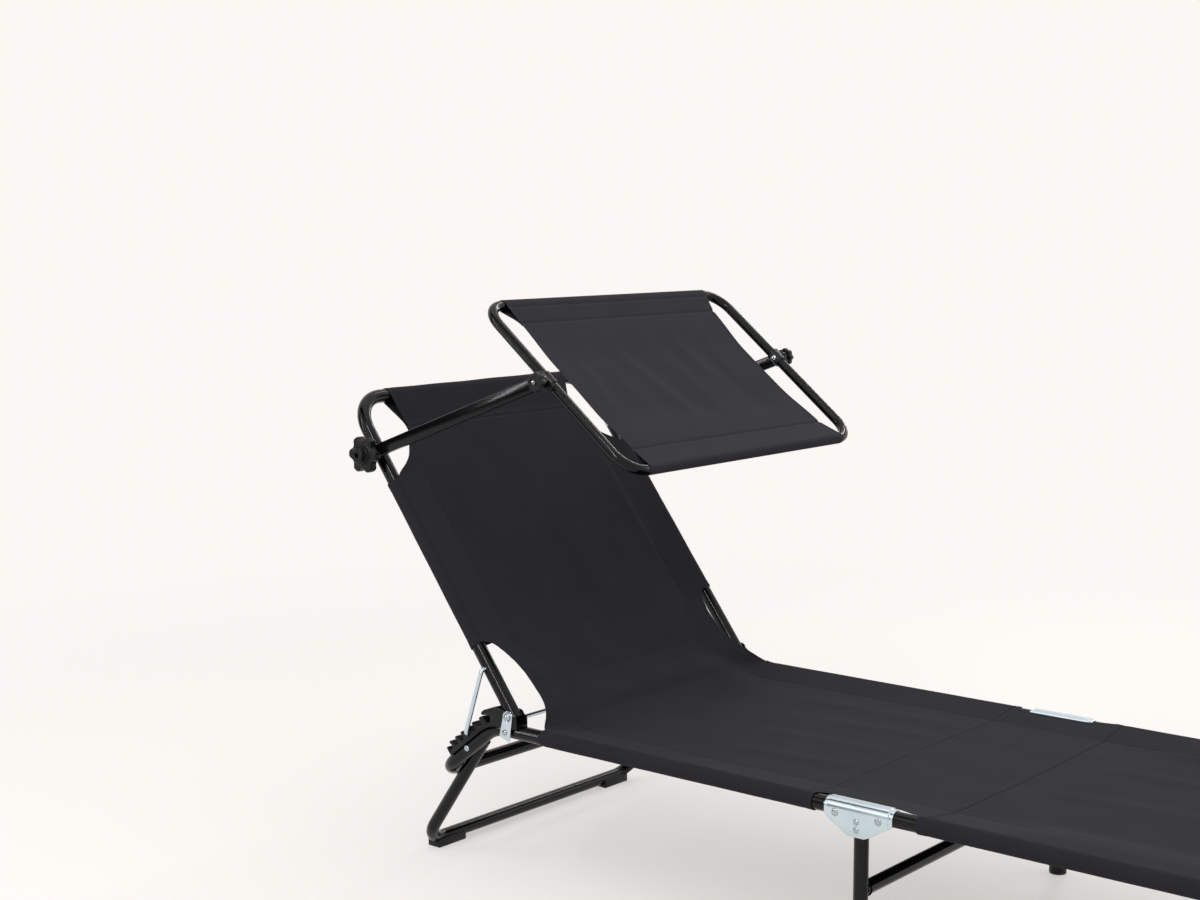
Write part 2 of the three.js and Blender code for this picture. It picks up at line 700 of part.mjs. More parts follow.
function canopyFrame() {
  const upper = (y) => point(canopyUpperBar.x, y, canopyUpperBar.z);
  const front = (y) => point(canopyFrontBar.x, y, canopyFrontBar.z);
  const half = canopyJoint / 2;
  const corners = [upper(half), upper(canopySideY), front(canopySideY)];
  const mirrored = corners.map((place) => point(place.x, -place.y, place.z)).reverse();
  const route = new BentRoute([...corners, ...mirrored], Array(4).fill(canopyBendRadius), bendSteps);
  return cut(stockTube(route, canopyTubeRadius), [pinHole(armHead, ...acrossAll)]);
}

// Saddle: a plastic block that steadies the round tube against the flat arm.
function canopySaddle(side) {
  const tubeOuter = canopySideOffset + canopyTubeRadius;
  const from = along(armHead, [[canopyDown, -saddleHalfLength]]);
  const to = along(armHead, [[canopyDown, saddleHalfLength]]);
  const range = sideRange(side, tubeOuter - saddleReach, armInner - fitClear);
  const block = plate(stadium(from, to, canopyTubeRadius), ...range);
  const routeEnds = [-1, 1].map((end) => along(armHead, [[canopyDown, end * canopyLength / 3]], side * canopySideY));
  const grip = gripSpace(new BentRoute(routeEnds, [], 1), canopyTubeRadius);
  return cut(block, [grip, pinHole(armHead, ...acrossAll)]);
}

// Spacer: a plastic washer between the backrest tube and the canopy arm.
function armSpacer(side) {
  const range = sideRange(side, railRadius + fitClear, armInner - fitClear);
  const washer = crossBar(armFoot, armWidth / 2, ...range);
  return cut(washer, [pinHole(armFoot, ...acrossAll)]);
}

// Star knob with soft lobes round a hub.
function lobedOutline(place, radius, lobes) {
  const outline = [];
  const perLobe = 4;
  for (let i = 0; i < lobes * perLobe; i++) {
    const angle = (2 * Math.PI * i) / (lobes * perLobe);
    const reach = radius * (1 - knobLobeShare + knobLobeShare * Math.cos(lobes * angle));
    outline.push(point(place.x + reach * Math.cos(angle), 0, place.z + reach * Math.sin(angle)));
  }
  return outlineOf(outline);
}

const knobFace = armOuter + fitClear;

function bigKnob(side) {
  const lobed = plate(lobedOutline(armFoot, bigKnobRadius, bigKnobLobes), ...sideRange(side, knobFace, knobFace + bigKnobDepth));
  const hub = crossBar(armFoot, bigKnobHubRadius, ...sideRange(side, knobFace, knobFace + bigKnobHubHeight), tubeSides);
  const bore = crossBar(
    armFoot,
    clearing(pinRadius + fitClear, pinSides),
    ...sideRange(side, knobFace - fitClear, knobFace + bigKnobDepth + fitClear),
  );
  return cut(joined([lobed, hub]), [bore]);
}

function smallKnob(side) {
  const outline = lobedOutline(armHead, smallKnobRadius, smallKnobLobes);
  const body = plate(outline, ...sideRange(side, knobFace, knobFace + smallKnobDepth));
  return cut(body, [pinHole(armHead, ...acrossAll)]);
}

// Canopy bolts: a domed head inside the tube, and a shank out to the knob.
function clampBolt(place, side, headFace, end) {
  const stations = [...domedHead(headFace, -1), [headFace, pinRadius], [end, pinRadius]];
  return turnedPin(place, side, stations);
}

const armBolt = (side) => clampBolt(armFoot, side, -railRadius - fitClear, knobFace + bigKnobDepth);
const tiltBolt = (side) => {
  const headFace = canopySideOffset - canopyTubeRadius - fitClear;
  return clampBolt(armHead, side, headFace, knobFace + smallKnobDepth + boltTailReach);
};

// A cloth sheet from rows across the lounger, in order from the head end: each row has its middle line place,
// the direction in which its upper side faces, its half width and the share of the sag it has.
function sheet(rows) {
  const made = new THREE.BoxGeometry(1, 1, 1, rows.length - 1, sheetColumns, 1);
  const corners = made.getAttribute("position");
  for (let i = 0; i < corners.count; i++) {
    const row = rows[Math.round((corners.getX(i) + 0.5) * (rows.length - 1))];
    const across = 2 * corners.getY(i);
    const lift = clothThickness * (corners.getZ(i) + 0.5) - clothSag * row.sagShare * (1 - across * across);
    const place = along(row.place, [[row.up, lift]], across * row.half);
    corners.setXYZ(i, place.x, place.y, place.z);
  }
  return solidOf(made);
}

const upward = point(0, 0, 1);
const clothLift = railRadius + fitClear;
const flatRow = (x, half, sagShare) => ({ place: point(x, 0, railHeight + clothLift), up: upward, half, sagShare });
const sleeves = (ends, tubeRadius) => sides.map(([, side]) => {
  const [from, to] = ends.map((place) => point(place.x, side * sideY, place.z));
  return sleeve(from, to, tubeRadius);
});

// Seat cloth between its two side sleeves.
function seatSling() {
  const ends = [-hipEdge, -kneeHeadEdge];
  const rowCount = 5;
  const rows = [];
  for (let i = 0; i < rowCount; i++) {
    rows.push(flatRow(THREE.MathUtils.lerp(...ends, i / (rowCount - 1)), sideY, 1));
  }
  const sleeveEnds = ends.map((x) => point(x, 0, railHeight));
  return joined([sheet(rows), ...sleeves(sleeveEnds, railRadius)]);
}

// Cloth over the middle hinge, cut in beside the brackets.
function kneeSling() {
  const half = sideY - kneeCutIn;
  const ends = [fitClear - kneeHeadEdge, kneeFootEdge - fitClear];
  return sheet([flatRow(ends[0], half, 1), flatRow((ends[0] + ends[1]) / 2, half, 1), flatRow(ends[1], half, 1)]);
}

// Foot cloth: side sleeves, cut-in corners and a sleeve round the foot bar.
function footSling() {
  const sleeveEnd = footReach - sleeveSetIn;
  const rows = [
    flatRow(kneeFootEdge, sideY, 1),
    flatRow((kneeFootEdge + sleeveEnd) / 2, sideY, 1),
    flatRow(sleeveEnd, sideY, 1),
    flatRow(footReach - cornerSetIn, sideY - cornerCutIn, 1 / 2),
    flatRow(footReach - endHemSetIn, sideY - endHemCutIn, 1 / 4),
    flatRow(footReach, sideY - endCutIn, 0),
  ];
  const endHalf = sideY - endCutIn;
  const barSleeve = sleeve(point(footReach, -endHalf, railHeight), point(footReach, endHalf, railHeight), railRadius);
  const sleeveEnds = [kneeFootEdge, sleeveEnd].map((x) => point(x, 0, railHeight));
  return joined([sheet(rows), ...sleeves(sleeveEnds, railRadius), barSleeve]);
}

// Backrest cloth: side sleeves, cut-in corners and a sleeve round the head bar.
function backrestRow(reach, half, sagShare) {
  return { place: along(pivotPlace, [[backrestUp, reach], [backrestFront, clothLift]]), up: backrestFront, half, sagShare };
}

function backrestSling() {
  const sleeveHigh = backrestReach - sleeveSetIn;
  const cornerReach = backrestReach - cornerSetIn;
  const rows = [
    backrestRow(backSleeveLow, sideY, 1),
    backrestRow((backSleeveLow + sleeveHigh) / 2, sideY, 1),
    backrestRow(sleeveHigh, sideY, 1),
    backrestRow((sleeveHigh + cornerReach) / 2, sideY - cornerCutIn / 2, 3 / 4),
    backrestRow(cornerReach, sideY - cornerCutIn, 1 / 2),
    backrestRow(backrestReach - endHemSetIn, sideY - endHemCutIn, 1 / 4),
    backrestRow(backrestReach, sideY - endCutIn, 0),
  ];
  const endHalf = sideY - endCutIn;
  const barPlace = along(pivotPlace, [[backrestUp, backrestReach]]);
  const barSleeve = sleeve(point(barPlace.x, -endHalf, barPlace.z), point(barPlace.x, endHalf, barPlace.z), railRadius);
  const sleeveEnds = [backSleeveLow, sleeveHigh].map((reach) => along(pivotPlace, [[backrestUp, reach]]));
  return joined([sheet(rows.reverse()), ...sleeves(sleeveEnds, railRadius), barSleeve]);
}

// Cloth round the hip: cut in from the rails and nearly straight from the seat cloth to the backrest cloth.
const hipMeet = (clothLift * (1 - Math.cos(backrestAngle)) - pivotLift) / Math.sin(backrestAngle);

function hipSling() {
  const start = flatRow(-hipEdge - fitClear, 0, 0).place;
  const corner = backrestRow(hipMeet, 0, 0).place;
  const end = backrestRow(backSleeveLow - fitClear, 0, 0).place;
  const curve = new THREE.QuadraticBezierCurve3(start, corner, end);
  // The cut-out: shares of the way from the seat to the backrest, and shares of the deepest cut-in.
  const cutShares = [[0, 0.08], [0.1, 0.37], [0.26, 0.78], [0.45, 0.97], [0.63, 1], [0.84, 0.8], [0.96, 0.52], [1, 0.3]];
  const rows = cutShares.map(([run, cutIn]) => {
    const place = start.clone().lerp(end, run).lerp(curve.getPoint(run), hipRoundShare);
    const angle = backrestAngle * run;
    return { place, up: point(Math.sin(angle), 0, Math.cos(angle)), half: sideY - hipCutIn * cutIn, sagShare: 1 };
  });
  return sheet(rows.reverse());
}

// Canopy cloth: wrapped round the upper and the front bar, clear of the side tubes.
function canopySling() {
  const lift = canopyTubeRadius + fitClear;
  const row = (bar, reach, half, sagShare) => {
    const place = along(bar, [[canopyDown, reach], [canopyTop, lift]]);
    return { place, up: canopyTop, half, sagShare };
  };
  const wide = canopyClothHalf + canopyFlare;
  const rows = [
    row(canopyUpperBar, 0, wide, 0),
    row(canopyUpperBar, canopyHem, canopyClothHalf, 1 / 4),
    row(armHead, 0, canopyClothHalf, 3 / 4),
    row(canopyFrontBar, -canopyHem, canopyClothHalf, 1 / 4),
    row(canopyFrontBar, 0, wide, 0),
  ];
  const barSleeves = [canopyUpperBar, canopyFrontBar].map((bar) => {
    return sleeve(point(bar.x, -wide, bar.z), point(bar.x, wide, bar.z), canopyTubeRadius);
  });
  return joined([sheet(rows), ...barSleeves]);
}

// Assembly
addNode("seat_frame", seatFrame(), blackEnamel());
addNode("backrest_frame", backrestFrame(), blackEnamel());
addNode("foot_frame", footFrame(), blackEnamel());
addNode("head_leg", leg(headLegPivot, headLegDown), blackEnamel());
addNode("foot_leg", leg(footLegPivot, footLegDown), blackEnamel());
addNode("mid_leg", midLeg(), blackEnamel());
addNode("bail", bail(), zincPlate());
addNode("canopy_frame", canopyFrame(), blackEnamel());
addNode("seat_sling", seatSling(), slingCloth());
addNode("knee_sling", kneeSling(), slingCloth());
addNode("foot_sling", footSling(), slingCloth());
addNode("hip_sling", hipSling(), slingCloth());
addNode("backrest_sling", backrestSling(), slingCloth());
addNode("canopy_sling", canopySling(), canopyCloth());

for (const [name, side] of sides) {
  addNode(`hinge_bracket_${name}`, hingeBracket(side), zincPlate());
  addNode(`seat_hinge_rivet_${name}`, bracketRivet(hingePin(-1), side), zincPlate());
  addNode(`foot_hinge_rivet_${name}`, bracketRivet(hingePin(1), side), zincPlate());
  addNode(`upper_leg_rivet_${name}`, bracketRivet(legRivetPlaces[0], side), zincPlate());
  addNode(`lower_leg_rivet_${name}`, bracketRivet(legRivetPlaces[1], side), zincPlate());
  addNode(`mid_foot_${name}`, midFoot(side), blackPlastic());
  addNode(`head_leg_rivet_${name}`, legPivotRivet(headLegPivot, side), zincPlate());
  addNode(`head_leg_cap_${name}`, groundCap(headLegPivot, headLegDown, side), blackPlastic());
  addNode(`foot_leg_rivet_${name}`, legPivotRivet(footLegPivot, side), zincPlate());
  addNode(`foot_leg_cap_${name}`, groundCap(footLegPivot, footLegDown, side), blackPlastic());
  addNode(`foot_leg_stop_${name}`, stopStud(side), zincPlate());
  addNode(`recline_rack_${name}`, rack(side), blackPlastic());
  addNode(`pivot_strap_${name}`, pivotStrap(side), zincPlate());
  addNode(`pivot_pin_${name}`, pivotPin(side), zincPlate());
  addNode(`strap_rivet_${name}`, strapRivet(side), zincPlate());
  addNode(`canopy_arm_${name}`, canopyArm(side), blackEnamel());
  addNode(`arm_spacer_${name}`, armSpacer(side), blackPlastic());
  addNode(`arm_bolt_${name}`, armBolt(side), zincPlate());
  addNode(`arm_knob_${name}`, bigKnob(side), blackPlastic());
  addNode(`canopy_saddle_${name}`, canopySaddle(side), blackPlastic());
  addNode(`tilt_bolt_${name}`, tiltBolt(side), zincPlate());
  addNode(`tilt_knob_${name}`, smallKnob(side), blackPlastic());
}

// The origin is on the floor, under the middle of the whole lounger.
const bounds = new THREE.Box3().setFromObject(lounger, true);
lounger.position.x = -(bounds.min.x + bounds.max.x) / 2;

export default lounger;
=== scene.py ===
import bmesh
import bpy
from math import asin, atan2, cos, degrees, exp, pi, radians, sin, sqrt, tan, tanh
from mathutils import Matrix, Vector


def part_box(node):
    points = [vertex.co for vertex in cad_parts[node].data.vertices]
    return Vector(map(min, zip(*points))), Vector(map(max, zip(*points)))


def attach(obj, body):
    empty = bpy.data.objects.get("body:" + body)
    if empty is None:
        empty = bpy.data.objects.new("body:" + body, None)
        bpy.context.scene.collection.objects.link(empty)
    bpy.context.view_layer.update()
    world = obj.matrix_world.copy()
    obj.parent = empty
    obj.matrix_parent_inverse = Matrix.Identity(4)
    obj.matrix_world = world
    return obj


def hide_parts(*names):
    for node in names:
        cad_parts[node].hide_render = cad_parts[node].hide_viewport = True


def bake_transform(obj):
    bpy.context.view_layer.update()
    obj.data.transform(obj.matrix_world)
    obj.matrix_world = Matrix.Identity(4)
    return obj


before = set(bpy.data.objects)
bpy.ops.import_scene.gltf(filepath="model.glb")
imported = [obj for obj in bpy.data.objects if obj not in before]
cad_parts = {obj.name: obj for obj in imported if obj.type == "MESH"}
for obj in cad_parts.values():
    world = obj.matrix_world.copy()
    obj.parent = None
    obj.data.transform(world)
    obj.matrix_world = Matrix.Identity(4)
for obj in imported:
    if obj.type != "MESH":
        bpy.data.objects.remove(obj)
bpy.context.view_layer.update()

# Camera. The photograph is taken from the near side and the foot end, a little above the canopy.
# Shapes are drawn in millimetres, with X counted from the middle hinge.
# The hinge's own place is read from the mid leg's near shoe.
mm = 0.001
hinge_place = Vector((sum(corner.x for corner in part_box("mid_foot_near")) / 2, 0, 0))
camera_place = Vector((1296.4, -2390.2, 1019.8))
camera_turn, camera_drop = radians(39.681), radians(7.031)


def add_object(name, data):
    """A new object in the scene."""
    thing = bpy.data.objects.new(name, data)
    bpy.context.scene.collection.objects.link(thing)
    return thing


camera = add_object("camera", bpy.data.cameras.new("camera"))
bpy.context.scene.camera = camera
camera.data.sensor_width = 36
camera.data.lens = 57.637
camera.location = hinge_place + camera_place * mm
camera.rotation_euler = (radians(90) - camera_drop, 0, camera_turn)


# Seat frame. One length of 22 mm steel tube with a 1.2 mm wall, bent to two long rails that dip to a bar at
# the head end. It is powder coated in gloss black after bending, and its open ends stand in the brackets.
rail_y = 289
rail_z = 240
rail_radius = 11
hinge_gap = 28
bend_radius = 60
head_corner = 45
slope_length = 148
slope_angle = radians(38.5)


def spot(x, z, y=0):
    return Vector((x, y, z))


def along(start, *steps):
    """A place from a start by distances along directions."""
    place = start.copy()
    for direction, distance in steps:
        place += direction * distance
    return place


def beside(place, y):
    return Vector((place.x, y, place.z))


def mirrored(places):
    """The mirror images of places on the other side, in reverse order."""
    return [Vector((place.x, -place.y, place.z)) for place in reversed(places)]


def linear(hex_colour):
    """The linear colour of an sRGB hex value."""
    shares = [int(hex_colour[i:i + 2], 16) / 255 for i in (1, 3, 5)]
    return [s / 12.92 if s <= 0.04045 else ((s + 0.055) / 1.055) ** 2.4 for s in shares] + [1]


def feed(node, socket, source):
    """Links a node's socket to what feeds it."""
    node.id_data.links.new(source, node.inputs[socket])


def add_node(material, kind, values=(), links=(), **settings):
    """One shader node with its settings, its socket values and the sockets that feed it."""
    node = material.node_tree.nodes.new(kind)
    for setting, value in settings.items():
        setattr(node, setting, value)
    for socket, value in dict(values).items():
        node.inputs[socket].default_value = value
    for socket, source in dict(links).items():
        feed(node, socket, source)
    return node


def start_material(name, **sockets):
    """A material whose shader has these even values, and the place that its patterns read."""
    material = bpy.data.materials.new(name)
    material.use_nodes = True
    shader = material.node_tree.nodes["Principled BSDF"]
    for socket, value in sockets.items():
        shader.inputs[socket.replace("_", " ")].default_value = value
    return material, shader, add_node(material, "ShaderNodeTexCoord").outputs["Object"]


def two_tones(material, place, dark, light, size):
    """A soft mottle of two colours with patches of about this size in millimetres."""
    cloud = add_node(
        material, "ShaderNodeTexNoise", {"Scale": 1 / (size * mm), "Detail": 3}, {"Vector": place})
    tones = add_node(material, "ShaderNodeMix", {"A": linear(dark), "B": linear(light)}, data_type="RGBA")
    feed(tones, "Factor", cloud.outputs["Fac"])
    return tones.outputs["Result"]


def unevenness(material, shader, place, size, detail, strength, depth):
    """Fine rises of about this size and depth in millimetres. Gives back their pattern."""
    pattern = add_node(
        material, "ShaderNodeTexNoise", {"Scale": 1 / (size * mm), "Detail": detail}, {"Vector": place})
    rises = add_node(material, "ShaderNodeBump", {"Strength": strength, "Distance": depth * mm},
                     {"Height": pattern.outputs["Fac"]})
    feed(shader, "Normal", rises.outputs["Normal"])
    return pattern.outputs["Fac"]


def into_place(shape):
    """Turns a shape's faces outwards, and its millimetres into metres round the hinge's place."""
    bmesh.ops.recalc_face_normals(shape, faces=shape.faces[:])
    bmesh.ops.scale(shape, vec=(mm, mm, mm), verts=shape.verts[:])
    bmesh.ops.translate(shape, vec=hinge_place, verts=shape.verts[:])


def mesh_object(name, shape, material=None):
    """A new object with a shape's mesh. The shape is used up."""
    mesh = bpy.data.meshes.new(name)
    shape.to_mesh(mesh)
    shape.free()
    if material:
        mesh.materials.append(material)
    return add_object(name, mesh)


def finish(name, shape, material, body, slot, *stands_for, sharp=35):
    """Turns a shape in millimetres into a smooth-shaded piece in its place, riding on its body."""
    into_place(shape)
    for face in shape.faces:
        face.smooth = True
    for edge in shape.edges:
        edge.smooth = edge.calc_face_angle(0) < radians(sharp)
    piece = mesh_object(name, shape, material)
    if body:
        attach(piece, body)
    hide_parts(*stands_for)
    return piece


def new_part(shape, edges):
    """Extrudes a ring of edges and gives back the new ring with its vertices."""
    grown = bmesh.ops.extrude_edge_only(shape, edges=edges)["geom"]
    verts = [part for part in grown if isinstance(part, bmesh.types.BMVert)]
    ring = [part for part in grown if isinstance(part, bmesh.types.BMEdge) and set(part.verts) <= set(verts)]
    return ring, verts


def close_end(shape, ring, centre, inward, radius, wall, bore):
    """Turns a tube's rim inwards, over the wall's thickness and a short way down the bore."""
    ring, verts = new_part(shape, ring)
    share = (radius - wall) / radius
    bmesh.ops.scale(shape, vec=(share, share, share), space=Matrix.Translation(-centre), verts=verts)
    ring, verts = new_part(shape, ring)
    bmesh.ops.translate(shape, vec=inward * bore, verts=verts)
    bmesh.ops.edgeloop_fill(shape, edges=ring)


def bent_tube(shape, corners, bends, radius, wall=1.2, sides=32, bend_steps=14, bore=25):
    """A tube along its corners: straight runs are extruded, bends are spun, and both ends are open."""
    heading = (corners[1] - corners[0]).normalized()
    facing = heading.to_track_quat("Z", "Y").to_matrix().to_4x4()
    circle = bmesh.ops.create_circle(
        shape, segments=sides, radius=radius, matrix=Matrix.Translation(corners[0]) @ facing)
    first = ring = list({edge for vert in circle["verts"] for edge in vert.link_edges})
    first_heading, here = heading, corners[0]
    for i, corner in enumerate(corners[1:]):
        run_end, turn = corner, 0
        if i < len(bends):
            onward = (corners[i + 2] - corner).normalized()
            turn = heading.angle(onward)
            run_end = corner - heading * bends[i] * tan(turn / 2)
        ring, verts = new_part(shape, ring)
        bmesh.ops.translate(shape, vec=run_end - here, verts=verts)
        here = run_end
        if turn:
            axis = heading.cross(onward).normalized()
            centre = here + axis.cross(heading) * bends[i]
            bent = bmesh.ops.spin(
                shape, geom=ring + verts, cent=centre, axis=axis, dvec=(0, 0, 0), angle=turn,
                steps=bend_steps, use_merge=False, use_duplicate=False)
            ring = [part for part in bent["geom_last"] if isinstance(part, bmesh.types.BMEdge)]
            here = corner + onward * bends[i] * tan(turn / 2)
            heading = onward
    if bore:
        close_end(shape, first, corners[0], first_heading, radius, wall, bore)
        close_end(shape, ring, corners[-1], -heading, radius, wall, bore)
    else:
        bmesh.ops.edgeloop_fill(shape, edges=first)
        bmesh.ops.edgeloop_fill(shape, edges=ring)
    return shape


def across(near_places, bends, radius, **how):
    """A tube bent the same on both sides: the near places in order, then their mirror images."""
    return bent_tube(bmesh.new(), near_places + mirrored(near_places), bends, radius, **how)


# Gloss black powder coat: an even, hard film with a faint orange peel, which gives long clear highlights.
enamel, shader, here = start_material("powder_coat_gloss_black", Roughness=0.15, Specular_IOR_Level=0.25)
feed(shader, "Base Color", two_tones(enamel, here, "#040405", "#070709", 60))
unevenness(enamel, shader, here, size=5, detail=2, strength=0.003, depth=0.2)

slope_down = spot(-cos(slope_angle), -sin(slope_angle))
slope_up = spot(-sin(slope_angle), cos(slope_angle))
rail_bend = spot(-655, rail_z)
slope_end = along(rail_bend, (slope_down, slope_length))
near_rail = [beside(place, -rail_y) for place in (spot(-hinge_gap, rail_z), rail_bend, slope_end)]
seat_bends = [bend_radius, head_corner, head_corner, bend_radius]
finish("seat_tube", across(near_rail, seat_bends, rail_radius), enamel, "seat", "black_enamel_steel",
       "seat_frame")


# Backrest frame. The same tube bent to a U and coated in the same black, standing at 53 degrees.
# Its open ends are pinned between the racks' cheeks, a little past the pivot.
back_angle = radians(53.13)
back_length = 575
past_pivot = 6
pivot = spot(-616, 265)
back_up = spot(-cos(back_angle), sin(back_angle))
back_front = spot(sin(back_angle), cos(back_angle))
near_back = [beside(along(pivot, (back_up, reach)), -rail_y) for reach in (-past_pivot, back_length)]
finish("backrest_tube", across(near_back, [bend_radius] * 2, rail_radius), enamel, "backrest",
       "black_enamel_steel", "backrest_frame")


# Foot frame. The same tube bent to a flat U beyond the middle hinge, and coated in the same black.
# Its open ends stand inside the brackets, opposite those of the rails.
foot_length = 660
near_foot = [spot(x, rail_z, -rail_y) for x in (hinge_gap, foot_length)]
finish("foot_tube", across(near_foot, [bend_radius] * 2, rail_radius), enamel, "foot", "black_enamel_steel",
       "foot_frame")


# Head and foot legs. 20 mm tube bent to a narrower U that hangs inside the rails, coated like them; the bars
# stand on plastic glides. The opened head leg leans against the bends of the seat frame's head bar.
leg_radius = 10
leg_y = rail_y - 25
leg_corner = 45
leg_drop = 64
past_leg_pivot = 8
ground_bar_z = 14
leg_clearance = 0.6
lean_y = leg_y + leg_radius / 2 - (rail_y - head_corner)
contact = slope_length - head_corner + sqrt(head_corner ** 2 - lean_y ** 2)
head_leg_angle = slope_angle + asin((rail_radius + leg_radius + leg_clearance) / (contact - leg_drop))
head_leg_pivot = along(rail_bend, (slope_down, leg_drop))
head_leg_down = spot(-cos(head_leg_angle), -sin(head_leg_angle))
foot_leg_angle = radians(70)
foot_leg_pivot = spot(560, rail_z)
foot_leg_down = spot(cos(foot_leg_angle), -sin(foot_leg_angle))


def ground_bar(leg_pivot, down):
    return along(leg_pivot, (down, (leg_pivot.z - ground_bar_z) / -down.z))


def leg_tube(leg_pivot, down):
    places = [along(leg_pivot, (down, -past_leg_pivot)), ground_bar(leg_pivot, down)]
    return across([beside(place, -leg_y) for place in places], [leg_corner] * 2, leg_radius)


legs = (("head_leg", head_leg_pivot, head_leg_down), ("foot_leg", foot_leg_pivot, foot_leg_down))
for leg, leg_pivot, down in legs:
    finish(f"{leg}_tube", leg_tube(leg_pivot, down), enamel, leg, "black_enamel_steel", leg)


# Mid leg. Two straight posts of the same tube with a cross bar welded between them, coated after welding.
# The posts run up into the brackets and down into plastic shoes.
sides = (("near", -1), ("far", 1))
post_bottom = 4.3
post_top = 237
cross_bar_z = 133
weld_depth = 4


def spun(shape, foot, axis, places, steps):
    """Spins a row of places a full turn about an axis through its foot."""
    verts = [shape.verts.new(place) for place in places]
    edges = [shape.edges.new(pair) for pair in zip(verts, verts[1:])]
    bmesh.ops.spin(
        shape, geom=verts + edges, cent=foot, axis=axis, dvec=(0, 0, 0), angle=2 * pi,
        steps=steps, use_merge=True, use_duplicate=False)
    bmesh.ops.remove_doubles(shape, verts=shape.verts[:], dist=0.002)
    return shape


def turned(shape, place, side, profile, steps=24):
    """Spins pairs of (reach outboard of the rail, radius) about an axis across the lounger."""
    foot = spot(place.x, place.z, side * rail_y)
    places = [foot + spot(0, radius, side * reach) for reach, radius in profile]
    return spun(shape, foot, (0, 1, 0), places, steps)


mid_leg = bmesh.new()
for name, side in sides:
    bent_tube(mid_leg, [spot(0, z, side * rail_y) for z in (post_bottom, post_top)], [], leg_radius)
cross_bar = [spot(0, cross_bar_z, side * (rail_y - weld_depth)) for name, side in sides]
bent_tube(mid_leg, cross_bar, [], leg_radius, bore=0)
weld = [(-10.4, 10.1), (-10.6, 11.4), (-11.4, 11.6), (-12.4, 11), (-13, 10.1)]
for name, side in sides:
    turned(mid_leg, spot(0, cross_bar_z), side, weld)
finish("mid_leg_tube", mid_leg, enamel, "mid_leg", "black_enamel_steel", "mid_leg")


# Shoes and glides. Black polypropylene moulded with a fine spark texture, which takes the shine off.
# They are pushed over the posts and clipped on the bars.
plastic, shader, here = start_material("moulded_polypropylene_black", Roughness=0.4, Specular_IOR_Level=0.25)
feed(shader, "Base Color", two_tones(plastic, here, "#0a0a0c", "#101012", 25))
unevenness(plastic, shader, here, size=1.2, detail=4, strength=0.25, depth=0.12)
glide_half = 13
glide_length = 62
glide_outer = leg_y - 22
sole_ease = 1


def plate(shape, outline, low, high, edge=0.4, steps=2):
    """Pulls a flat outline across the lounger between two offsets, and eases the edges of both faces."""
    verts = [shape.verts.new(beside(place, low)) for place in outline]
    face = shape.faces.new(verts)
    pulled = bmesh.ops.extrude_face_region(shape, geom=[face], use_keep_orig=True)["geom"]
    moved = {part for part in pulled if isinstance(part, bmesh.types.BMVert)}
    bmesh.ops.translate(shape, vec=(0, high - low, 0), verts=list(moved))
    ends = [set(verts), moved]
    rims = {rim for vert in list(moved) + verts for rim in vert.link_edges
            if any(set(rim.verts) <= end for end in ends)}
    if edge:
        bmesh.ops.bevel(
            shape, geom=list(rims), offset=edge, affect="EDGES", segments=steps, profile=0.5, material=-1)
    return shape


def span(side, inner, outer):
    """Sideways offsets, in rising order, of a stretch outboard of the rail centre."""
    return sorted((side * (rail_y + inner), side * (rail_y + outer)))


def arc(centre, radius, start, end, steps):
    """Places on an arc, by angles in degrees from +X towards +Z."""
    angles = [radians(start + (end - start) * i / steps) for i in range(steps + 1)]
    return [centre + spot(cos(a), sin(a)) * radius for a in angles]


def glide(bar, side):
    """A U-shaped block under the bar with a rounded top and a flat sole."""
    outline = [spot(bar.x - glide_half + sole_ease, 0), spot(bar.x + glide_half - sole_ease, 0)]
    outline += [spot(bar.x + glide_half, 1.5), spot(bar.x + glide_half, bar.z)]
    outline += arc(spot(bar.x, bar.z - 7), glide_half, 20, 160, 14)
    outline += [spot(bar.x - glide_half, bar.z), spot(bar.x - glide_half, 1.5)]
    offsets = sorted((side * glide_outer, side * (glide_outer - glide_length)))
    return plate(bmesh.new(), outline, *offsets, edge=1.2, steps=3)


shoe_profile = [(0, 0), (11.5, 0), (13, 0.6), (13.5, 2), (13.5, 32.6), (13, 33.7), (12.3, 34), (10.4, 34),
                (10.4, 30)]
for name, side in sides:
    for leg, leg_pivot, down in legs:
        finish(f"{leg}_glide_{name}", glide(ground_bar(leg_pivot, down), side), plastic, leg, "black_plastic",
               f"{leg}_cap_{name}")
    shoe_foot = spot(0, 0, side * rail_y)
    shoe_places = [shoe_foot + spot(radius, z) for radius, z in shoe_profile]
    shoe = spun(bmesh.new(), shoe_foot, (0, 0, 1), shoe_places, 32)
    finish(f"mid_leg_shoe_{name}", shoe, plastic, "mid_leg", "black_plastic", f"mid_foot_{name}")


# Middle hinge brackets. 1.5 mm steel sheet folded to a channel, with a round roof over both rail ends.
# It is zinc plated and blue passivated, and holds the rails and the mid leg with domed rivets.

# Zinc plate: a pale, faintly blue metal, whose hazy and slightly uneven film softens what it mirrors.
zinc, shader, here = start_material("zinc_plate_blue_passivated", Metallic=1.0, Roughness=0.26)
feed(shader, "Base Color", two_tones(zinc, here, "#bccbd4", "#d3e0e7", 45))
haze = unevenness(zinc, shader, here, size=9, detail=3, strength=0.02, depth=0.2)
dull = add_node(zinc, "ShaderNodeMapRange", {"To Min": 0.14, "To Max": 0.24}, {"Value": haze})
feed(shader, "Roughness", dull.outputs["Result"])

# Bright rivet steel: plated like the brackets and pressed smooth by the rivet set, so sharper in its
# highlights.
# Its colour is a little darker than the zinc's: painted shade that stands in for the dark reflections in the
# heads.
rivet_steel, shader, here = start_material("rivet_steel_pressed_bright", Metallic=1.0, Roughness=0.1)
feed(shader, "Base Color", two_tones(rivet_steel, here, "#9fa9b0", "#b9c3c9", 8))
sheet_wall = 1.5
sheet_ease = 0.35


